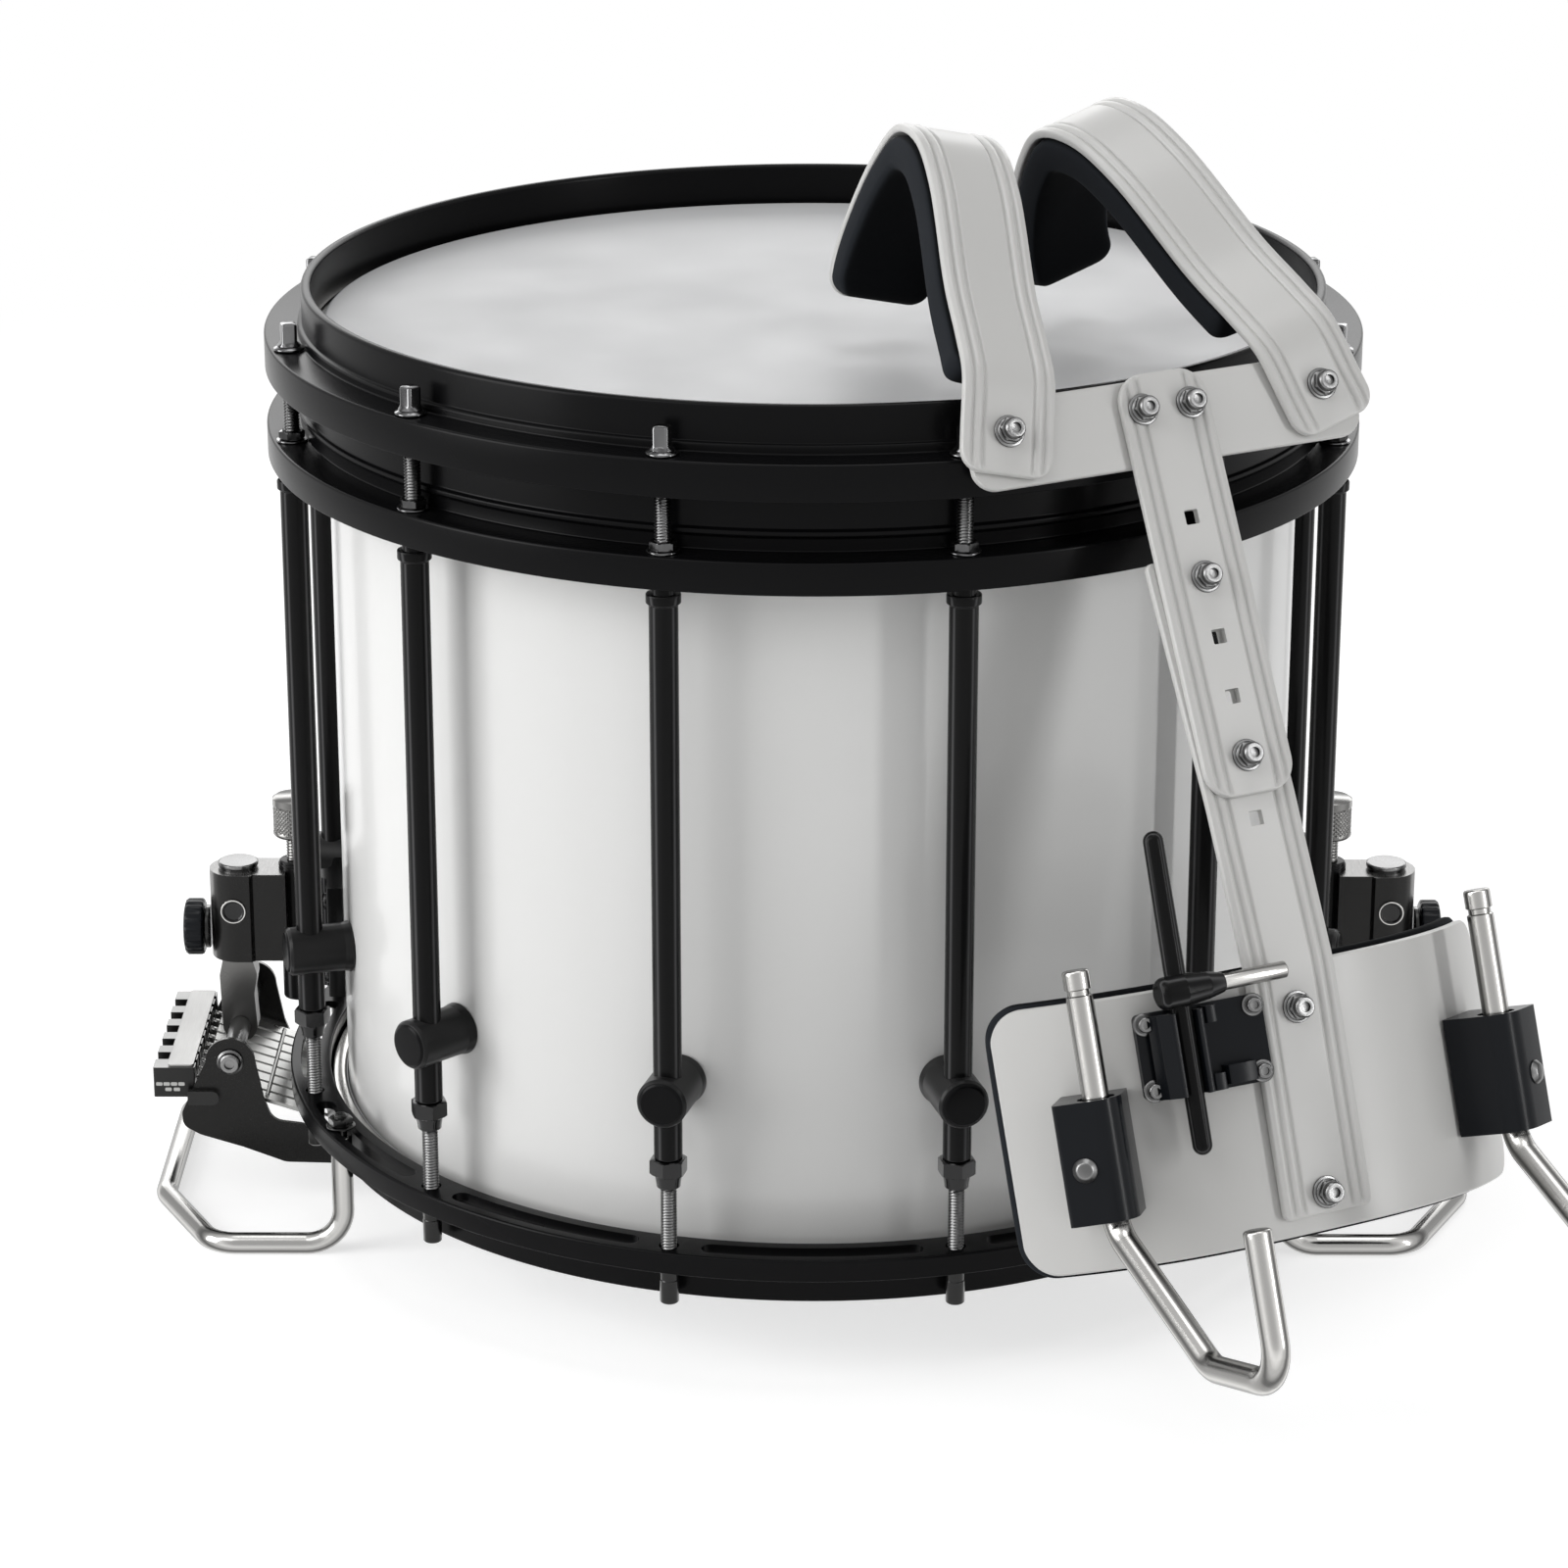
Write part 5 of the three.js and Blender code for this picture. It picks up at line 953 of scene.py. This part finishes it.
def makeStrands():
    # wires: straight under the head, then rising to the combs, each a round rod with coils in its relief;
    # outside
    # the hoop a flat ribbon wraps each wire, so that only narrow gaps stay between them
    level, bendAt, end, endLevel = strand["level"], strand["bend"], strand["end"], strand["endLevel"]
    wires = []
    for y in strandPlaces:
        corners = [(-end, y, endLevel), (-bendAt, y, level), (bendAt, y, level), (end, y, endLevel)]
        wires.append(bentRod(softened(corners, 8, 5, closed=False), strand["radius"], 0, 10, 0.2, 12))
    rise = (endLevel - level) / (end - bendAt)
    (near, far), thick, half = strand["ribbon"], strand["ribbonThick"], strand["ribbonHalf"]
    flat = [(x, level + rise * (x - bendAt) + out)
            for x, out in ((near, -thick), (far, -thick), (far, thick), (near, thick))]
    ribbons = [moved(upright(softened(flat, 0.3, 3), y - half, y + half), about("Z", turn))
               for turn in (0, 180) for y in strandPlaces]
    piece("strandRibbons", joined(*ribbons), home, "strandSteel", "strands", "strand_wire", 30)
    bars = []
    for side in (-1, 1):
        for x, z, thick in ((236.9, -289.2, 1.0), (207, -298.1, 0.8), (221, -294.4, 0.45),
                            (193, -303.9, 0.45)):
            bar = lathe(oblong(0, -33.3, thick, 33.3), [0, 0.4, 0.4, 0], 3, 20)
            bars.append(moved(bar, shift(side * x, 0, z) @ about("X", 90)))
    piece("strandWires", joined(*wires), home, "strandCoil", "strands", "strand_wire", 50,
          replaces="snare_strands")
    piece("strandBars", joined(*bars), home, "strandSteel", "strands", "strand_wire", 40)


for side, name, turnAbout in ((1, "right", 0), (-1, "left", 180)):
    makeStrainer(name, turnAbout)
    makeGuard(side, name)
makeStrands()
print("strainers, guards and snares made")

# Carrier: in its own frame X runs across it, -Y faces away from the wearer and Z runs up its spine
carrier = {"reach": 202, "azimuth": 35, "level": 8.8, "turn": 24, "lean": -27.7, "roll": -1.7, "sheet": 3,
           "face": 3.3, "barHalf": 73, "barTop": 10, "barHeight": 29.4, "slatHalf": 16.5, "slatEnd": -133,
           "bend": -190, "bendAngle": 8, "strapBolt": 59, "strapSwing": 15.5,
           "ridges": ((8.9, -0.7, 0.5), (12.7, -0.7, 0.5), (10.8, 0.35, 1.1), (14.6, 0.3, 1.2))}
belly = {"half": 93, "sag": 38, "front": 0.3, "tall": 44.5}
azimuth = math.radians(carrier["azimuth"])
carrierPlace = shift(carrier["reach"] * math.sin(azimuth), -carrier["reach"] * math.cos(azimuth),
                     carrier["level"])
carrierFrame = carrierPlace @ about("Z", carrier["turn"]) @ about("X",
                                                                  carrier["lean"]) @ about("Y",
                                                                                           carrier["roll"])
bellyFrame = carrierFrame @ shift(0, carrier["face"], carrier["bend"]) @ about("X", carrier["bendAngle"])
towardsFront = about("X", 90)


def acrossPath(places, outward, offset, out):
    # across at each offset, and along the path's normal by out
    return np.stack([offset, places[:, :1] + outward[:, :1] * out, places[:, 1:] + outward[:, 1:] * out], -1)


def pathAt(at, run, path, outward):
    # the path's points and unit outward directions at the given lengths
    normal = walked(at, run, outward)
    return walked(at, run, path), normal / np.linalg.norm(normal, axis=1)[:, None]


def strip(path, outward, half, corner, ridges=(), acrossSteps=150, edge=0.8):
    # a band of sheet: each ring is a flat loop with round edges and raised beads, as wide as its round
    # corners allow
    run = runOf(path)
    lip = edge * (1 - np.cos(np.linspace(0, np.pi / 2, 5)))
    turnIn = corner * (1 - np.cos(np.linspace(0, np.pi / 2, 14)))
    along = run[(run > corner) & (run < run[-1] - corner)]
    inside = np.union1d(along, np.linspace(corner, run[-1] - corner, 60))
    near = np.unique(np.round(np.concatenate([[0], lip, turnIn]), 5))
    at = np.unique(np.round(np.concatenate([near, inside, (run[-1] - near)[::-1]]), 5))
    middle, normal = pathAt(at, run, path, outward)
    toEnd = np.minimum(at, run[-1] - at)
    wide = half - roundOff(toEnd, corner)
    offset = np.linspace(-1, 1, acrossSteps)[None] * wide[:, None]
    fromSide = wide[:, None] - np.abs(offset)
    bead = sum(rise * np.exp(-((np.abs(offset) - where) / width) ** 2) for where, rise, width in ridges)
    bead = bead * np.clip((fromSide - 0.6) / 1.5, 0, 1) * np.clip(toEnd[:, None] / 2 - 0.3, 0, 1)
    back = np.maximum(roundOff(fromSide, edge), roundOff(toEnd, edge)[:, None])
    front = carrier["sheet"] - back + bead
    loopX = np.concatenate([offset, offset[:, ::-1]], 1)
    loopOut = np.concatenate([front, back[:, ::-1]], 1)
    points = acrossPath(middle, normal, loopX, loopOut)
    count = loopX.shape[1]
    faces = gridFaces(len(at), count, False, True)
    for ring in (0, len(at) - 1):
        k = np.arange(acrossSteps - 1) + ring * count
        far = ring * count + count - 1 - np.arange(acrossSteps - 1)
        faces += np.stack([k, k + 1, far - 1, far], -1).tolist()
    return points.reshape(-1, 3), faces


def archPoints(steps=220):
    # a centripetal spline through the strap's corner points, walked in even steps: places and outward
    # directions
    shares = np.array([(.045, .26), (.135, .43), (.27, .773), (.38, .926), (.524, 1), (.667, .967),
                       (.81, .884), (.94, .76), (1, .62)])
    p = np.vstack([[(-0.3, -14.5), (-0.3, 0), (-0.3, 18.5)], shares * (126, 121)])
    p = np.vstack([2 * p[0] - p[1], p, 2 * p[-1] - p[-2]])
    gap = np.linalg.norm(np.diff(p, axis=0), axis=1) ** 0.5
    a, b, c = gap[:-2, None], gap[1:-1, None], gap[2:, None]
    p0, p1, p2, p3 = p[:-3], p[1:-2], p[2:-1], p[3:]
    start = ((p1 - p0) / a - (p2 - p0) / (a + b) + (p2 - p1) / b) * b
    end = ((p2 - p1) / b - (p3 - p1) / (b + c) + (p3 - p2) / c) * b
    t = np.linspace(0, 1, 60, endpoint=False)[None, :, None]
    q1, q2, s, e = p1[:, None], p2[:, None], start[:, None], end[:, None]
    curve = (2 * q1 - 2 * q2 + s + e) * t ** 3 + (3 * q2 - 3 * q1 - 2 * s - e) * t ** 2 + s * t + q1
    curve = np.vstack([curve.reshape(-1, 2), p[-2:-1]])
    run = runOf(curve)
    middle = walked(np.linspace(0, run[-1], steps), run, curve)
    along = np.gradient(middle, axis=0)
    along /= np.linalg.norm(along, axis=1)[:, None]
    return middle, np.stack([-along[:, 1], along[:, 0]], -1)


def sagAt(x):
    # the plate's plan: its sag grows with the cube of the distance from the spine; its level and its slope
    share = x / belly["half"]
    slope = 3 * belly["sag"] / belly["half"] * share * abs(share)
    return belly["front"] + belly["sag"] * abs(share) ** 3, slope


def bellyCurve(behind, half, steps=161):
    x = np.linspace(-half, half, steps)
    level, slope = sagAt(x)
    normal = np.stack([-slope, np.ones(steps)], -1) / np.hypot(slope, 1)[:, None]
    return np.stack([x, level], -1) + normal * behind, normal


def seatAt(x):
    # the plate's front at x, turned so that -Y leads away from it
    level, slope = sagAt(x)
    return shift(x, level, 0) @ about("Z", math.degrees(math.atan(slope)))


def boltShape():
    # washer, hexagonal nut and the bolt's round end with a socket in it; it stands along Z on z = 0
    washer = lathe(oblong(0, 0, 4.9, 0.9), [0, 0.2, 0.3, 0], 3, 40)
    flange = lathe([(0, 0.9), (4.2, 0.9), (4.1, 1.4), (3.4, 1.9), (0, 1.9)], [0, 0.2, 0.3, 0.3, 0], 3, 40)
    nut = sidedRing(6, 3.5, 2.6, 1.6, 3.6, 0.5)
    end = lathe([(0, 3.0), (3.3, 3.0), (3.3, 5.2), (2.8, 5.8), (1.5, 5.8), (1.5, 4.6), (0, 4.6)],
                [0, 0.1, 0.5, 0.2, 0.1, 0.1, 0], 4, 36)
    points, faces = joined(washer, flange, nut, end)
    return points * 1.1, faces


def squareTool(places, high):
    square = plate(softened(oblong(-2.5, -2.5, 2.5, 2.5), 0.5, 3), -8, high)
    return joined(*[moved(square, shift(0, 0, z) @ about("X", -90)) for z in places])


def addSlat(name, surface, node, cutters=()):
    piece(name, surface, carrierFrame, "whitePaint", "carrier", "white_paint", 45, replaces=node,
          cutters=cutters)


def makeSpine():
    bar, half, face = carrier["barHalf"], carrier["barHeight"] / 2, carrier["face"]
    points, faces = strip([(-bar, face), (bar, face)], [(0, -1), (0, -1)], half, 8, edge=0.7)
    crossbar = np.stack([points[:, 1], points[:, 2], carrier["barTop"] - half + points[:, 0]], -1)
    addSlat("crossbarPlate", (crossbar, faces), "carrier_crossbar")
    wide, ridges, end, bendAt = carrier["slatHalf"], carrier["ridges"], carrier["slatEnd"], carrier["bend"]
    upper = strip([(0, end), (0, 11.5)], [(-1, 0), (-1, 0)], wide, 10, ridges)
    addSlat("upperSlatPlate", upper, "carrier_upper_slat", [squareTool((-38.7, -79.5, -99.9), 8)])
    lean, run = math.radians(carrier["bendAngle"]), 83
    foot = (face + run * math.sin(lean), bendAt - run * math.cos(lean))
    path = softened([foot, (face, bendAt), (face, -51.4)], 30, 12, closed=False)
    outward = np.where((path[:, 1] < bendAt)[:, None], (-math.cos(lean), -math.sin(lean)), (-1.0, 0.0))
    points, faces = strip(path, outward, wide, 2.5, ridges)
    # its upper end leans a little to the left of the upper slat
    points[:, 0] -= 0.03 * np.clip(points[:, 2] - end, 0, 90)
    addSlat("lowerSlatPlate", (points, faces), "carrier_lower_slat", [squareTool((-79.5, -99.9, -140.7), 10)])
    for k, (x, z) in enumerate([(-9, -0.7), (9, -0.7), (0, -59.2), (0, -120)]):
        place = carrierFrame @ shift(x, -3.0, z) @ towardsFront
        piece(f"spineBolt_{k + 1}", boltShape(), place, "threadSteel", "carrier", "steel", 30)
    for k, z in enumerate((-14, -76)):
        place = bellyFrame @ shift(0, -3.05, z) @ towardsFront
        piece(f"plateBolt_{k + 1}", boltShape(), place, "threadSteel", "carrier", "steel", 30)


def cushion(path, outward, half, depth, offset, startEnd, power, along=110, corner=7.0, around=44):
    # a foam pad: a squared oval carried along the path, drawn in at both ends, its middle at an offset from
    # the path;
    # a second ring at each end closes the flat end face
    run = runOf(path)
    share = np.pad((1 - np.cos(np.linspace(0, np.pi, along))) / 2, 1, constant_values=(0, 1))
    at = run[-1] * (startEnd[0] + (startEnd[1] - startEnd[0]) * share)
    middle, normal = pathAt(at, run, path, outward)
    toEnd = np.minimum(at - at[0], at[-1] - at)
    wide = half - roundOff(toEnd, min(corner, half * 0.5))
    drawn = 1 - roundOff(toEnd, depth * 0.42) / (depth / 2)
    wide[[0, -1]], drawn[[0, -1]] = 0, 0
    angle = fullTurn(around)
    x = np.sign(np.cos(angle)) * np.abs(np.cos(angle)) ** (2 / power)
    y = np.sign(np.sin(angle)) * np.abs(np.sin(angle)) ** (2 / power)
    points = acrossPath(middle, normal, x[None] * wide[:, None],
                        offset + depth / 2 * y[None] * drawn[:, None])
    return points.reshape(-1, 3), gridFaces(along + 2, around, False, True)


def makeStraps():
    path, outward = archPoints()
    for side, name, padStart in ((-1, "left", 0.155), (1, "right", 0.205)):
        place = carrierFrame @ shift(side * carrier["strapBolt"], 0,
                                     -1.2) @ about("Y", -side * carrier["strapSwing"])
        body = f"strap_{name}"
        sheet = strip(path[:-4], outward[:-4], 16.4, 7.5, carrier["ridges"])
        piece(f"strapPlate_{name}", sheet, place, "whitePaint", body, "white_paint", 45,
              replaces=f"shoulder_strap_{name}")
        bolt = place @ shift(0, -3.35, 0) @ towardsFront
        piece(f"strapBolt_{name}", boltShape(), bolt, "threadSteel", body, "steel", 30)
        pad = cushion(path, outward, 17.3, 13, -7.0, (padStart, 0.98), 6.0)
        foam = piece(f"strapFoam_{name}", pad, place, "foam", body, "foam", 60,
                     replaces=f"shoulder_pad_{name}")


def hung(surface):
    # a band across the path becomes one that hangs from the plate's upper edge
    points, faces = surface
    return np.stack([points[:, 1], points[:, 2], points[:, 0] - belly["tall"]], -1), faces


def makeBelly():
    path, normal = bellyCurve(3.0, belly["half"])
    sheet = hung(strip(path, -normal, belly["tall"], 12, edge=0.7))
    piece("bellyPlateSheet", sheet, bellyFrame, "whitePaint", "carrier", "white_paint", 45,
          replaces="belly_plate")
    path, normal = bellyCurve(3.3 + 3.2, 95.9)
    pad = hung(cushion(path, normal, 46, 6.2, 0, (0, 1), 5.0, along=150, corner=13.5))
    foam = piece("bellyFoam", pad, bellyFrame, "foam", "carrier", "foam", 60, replaces="belly_pad")


hook = {"x": 76, "y": 0.5, "radius": 4.5, "bend": 14, "holder": 69, "groove": 4.6, "grooveDepth": 0.7}


def makeHolder(side, name):
    # plan: a flat front, a narrow corner outside and a wide round one inside; the bore widens at its upper
    # mouth
    outline = softened([(side * 11, -0.3), (side * 11, -24.9), (side * -11, -24.9), (side * -11, -0.3)],
                       [0.6, 1.6, 9.5, 0.6], 12)
    seat = bellyFrame @ seatAt(side * hook["holder"])
    onRod = bellyFrame @ shift(side * hook["x"], hook["y"], 0)
    tools = [moved(plate([(r * math.cos(a), r * math.sin(a)) for a in fullTurn(40)], low, -20), onRod)
             for r, low in ((4.9, -80), (6.3, -32.2))]
    piece(f"rodHolderBlock_{name}", moved(plate(outline, -70, -30), seat), home, "blackPlastic", "carrier",
          "black_plastic", 30, bevel=0.8, replaces=f"rod_holder_{name}", cutters=tools)
    # set screw: a domed head in the holder's front
    screw = lathe([(0, 0), (4.1, 0), (4.1, 0.5), (2.6, 2.0), (0, 2.3)], [0, 0.2, 0.9, 1.6, 0], 5, 40)
    place = seat @ shift(side * 3.2, -24.88, -52) @ towardsFront
    piece(f"holderScrew_{name}", screw, place, "threadSteel", "carrier", "steel")


def makeHookRod(side, name):
    x, y, radius = side * hook["x"], hook["y"], hook["radius"]
    corners = [(x, y, 12), (x, y, -74), (x, -52, -115), (x, -97, -117), (x, -97, -68)]
    points, faces = bentRod(corners, radius, hook["bend"], 32, 0.9, 3, np.arange(4.0, 12.0, 0.2))
    # the groove: near its upper end the rod is turned down by most of a millimetre
    away = np.abs(points[:, 2] - hook["groove"])
    depth = hook["grooveDepth"] * np.clip((1.2 - away) / 0.4, 0, 1) * (np.abs(points[:, 1] - y) < 6)
    points[:, 0] += (x - points[:, 0]) * depth / radius
    points[:, 1] += (y - points[:, 1]) * depth / radius
    piece(f"hookRodBar_{name}", (points, faces), bellyFrame, "drawnSteel", f"hook_{name}", "steel", 40,
          replaces=f"hook_rod_{name}")


def addClamp(name, surface, place, bevel, replaces=None):
    piece(name, surface, place, "blackPlastic", "carrier", "black_plastic", 30, bevel=bevel,
          replaces=replaces)


def makeClamp():
    seat = bellyFrame @ seatAt(-35)
    base = plate(softened(oblong(-22, -35.5, 22, -6.5), 3, 5), 2.7, 4.7)
    packing = plate(softened(oblong(-21.7, -35.2, 16, -6.8), 2, 4), 0.3, 3.2)
    addClamp("clampPlate", joined(moved(base, towardsFront), moved(packing, towardsFront)), seat, 0.4,
             "rod_clamp")
    # channel: a raised round-shouldered housing along the T rod, with ribs beside it
    outline = softened([(-54.5, -1.0), (-52.6, -5.6), (-49.4, -9.4), (-47.4, -9.4), (-47.2, -1.6),
                        (-39.8, -1.6), (-39.6, -9.2), (-37.2, -9.2), (-36.6, -1.0)],
                       [0.4, 2.4, 1.2, 0.5, 2.6, 2.6, 0.5, 1.0, 0.4], 5)
    addClamp("clampChannel", plate(outline, -35.0, -7.5), bellyFrame, 0.4)
    ribs = [plate(softened([(x0, -y0), (x1, -y0), (x1, -1.4), (x0, -1.4)], 0.8, 3), z0, z1)
            for x0, x1, y0, z0, z1 in ((-35.9, -31.6, 7.6, -12.8, -7.2), (-36.2, -31.4, 7.2, -35.2, -29.6),
                                       (-31.0, -20.6, 8.6, -34.0, -27.6))]
    addClamp("clampRibs", joined(*ribs), bellyFrame, 0.3)
    screw = lathe([(0, 0), (3.8, 0), (3.8, 0.8), (3.1, 1.1), (2.6, 1.0), (2.6, 2.9), (2.2, 3.3), (1.3, 3.3),
                   (1.3, 2.0), (0, 2.0)], [0, 0.2, 0.3, 0.1, 0.1, 0.3, 0.2, 0.1, 0.1, 0], 3, 36)
    for k, (x, z) in enumerate([(-19, -10), (18.6, -10), (-19, -32), (18.6, -32)]):
        place = seat @ shift(x, -4.65, z) @ towardsFront
        piece(f"clampScrew_{k + 1}", screw, place, "threadSteel", "carrier", "steel")


def makeTRod():
    # a lathe form: two quarter circles for its round ends and a straight flank between them
    quarter = np.radians(np.linspace(0, 90, 9))
    foot = np.stack([3.3 * np.sin(quarter), -51.7 - 3.3 * np.cos(quarter)], -1)
    head = np.stack([3.4 * np.cos(quarter), 48.6 + 3.4 * np.sin(quarter)], -1)
    flank = np.stack([np.linspace(3.3, 3.6, 8)[1:], np.linspace(-51.7, 8, 8)[1:]], -1)
    rod = turned(np.concatenate([foot, flank, head]), 40)
    sleeve = lathe([(0, 0), (5.4, 0), (5.6, 9), (4.6, 18), (3.3, 24), (0, 24)], [0, 4.6, 4, 6, 0.6, 0], 7, 44)
    upRod, onSleeve = bellyFrame @ shift(-43.5, -5.2, 0), bellyFrame @ shift(-52.0, -7.6, -0.6) @ alongX
    piece("tRodBar", joined(moved(rod, upRod), moved(sleeve, onSleeve)), home, "tubePaint", "t_rod",
          "black_plastic", replaces="t_rod")
    pin = lathe(oblong(0, 0, 2.8, 26), [0, 0.2, 0.5, 0], 3, 32)
    piece("tRodPin", pin, bellyFrame @ shift(-30.6, -7.6, -0.6) @ alongX, "drawnSteel", "t_rod", "steel")


makeSpine()
makeStraps()
makeBelly()
for side, name in ((-1, "left"), (1, "right")):
    makeHolder(side, name)
    makeHookRod(side, name)
makeClamp()
makeTRod()
print("carrier made")
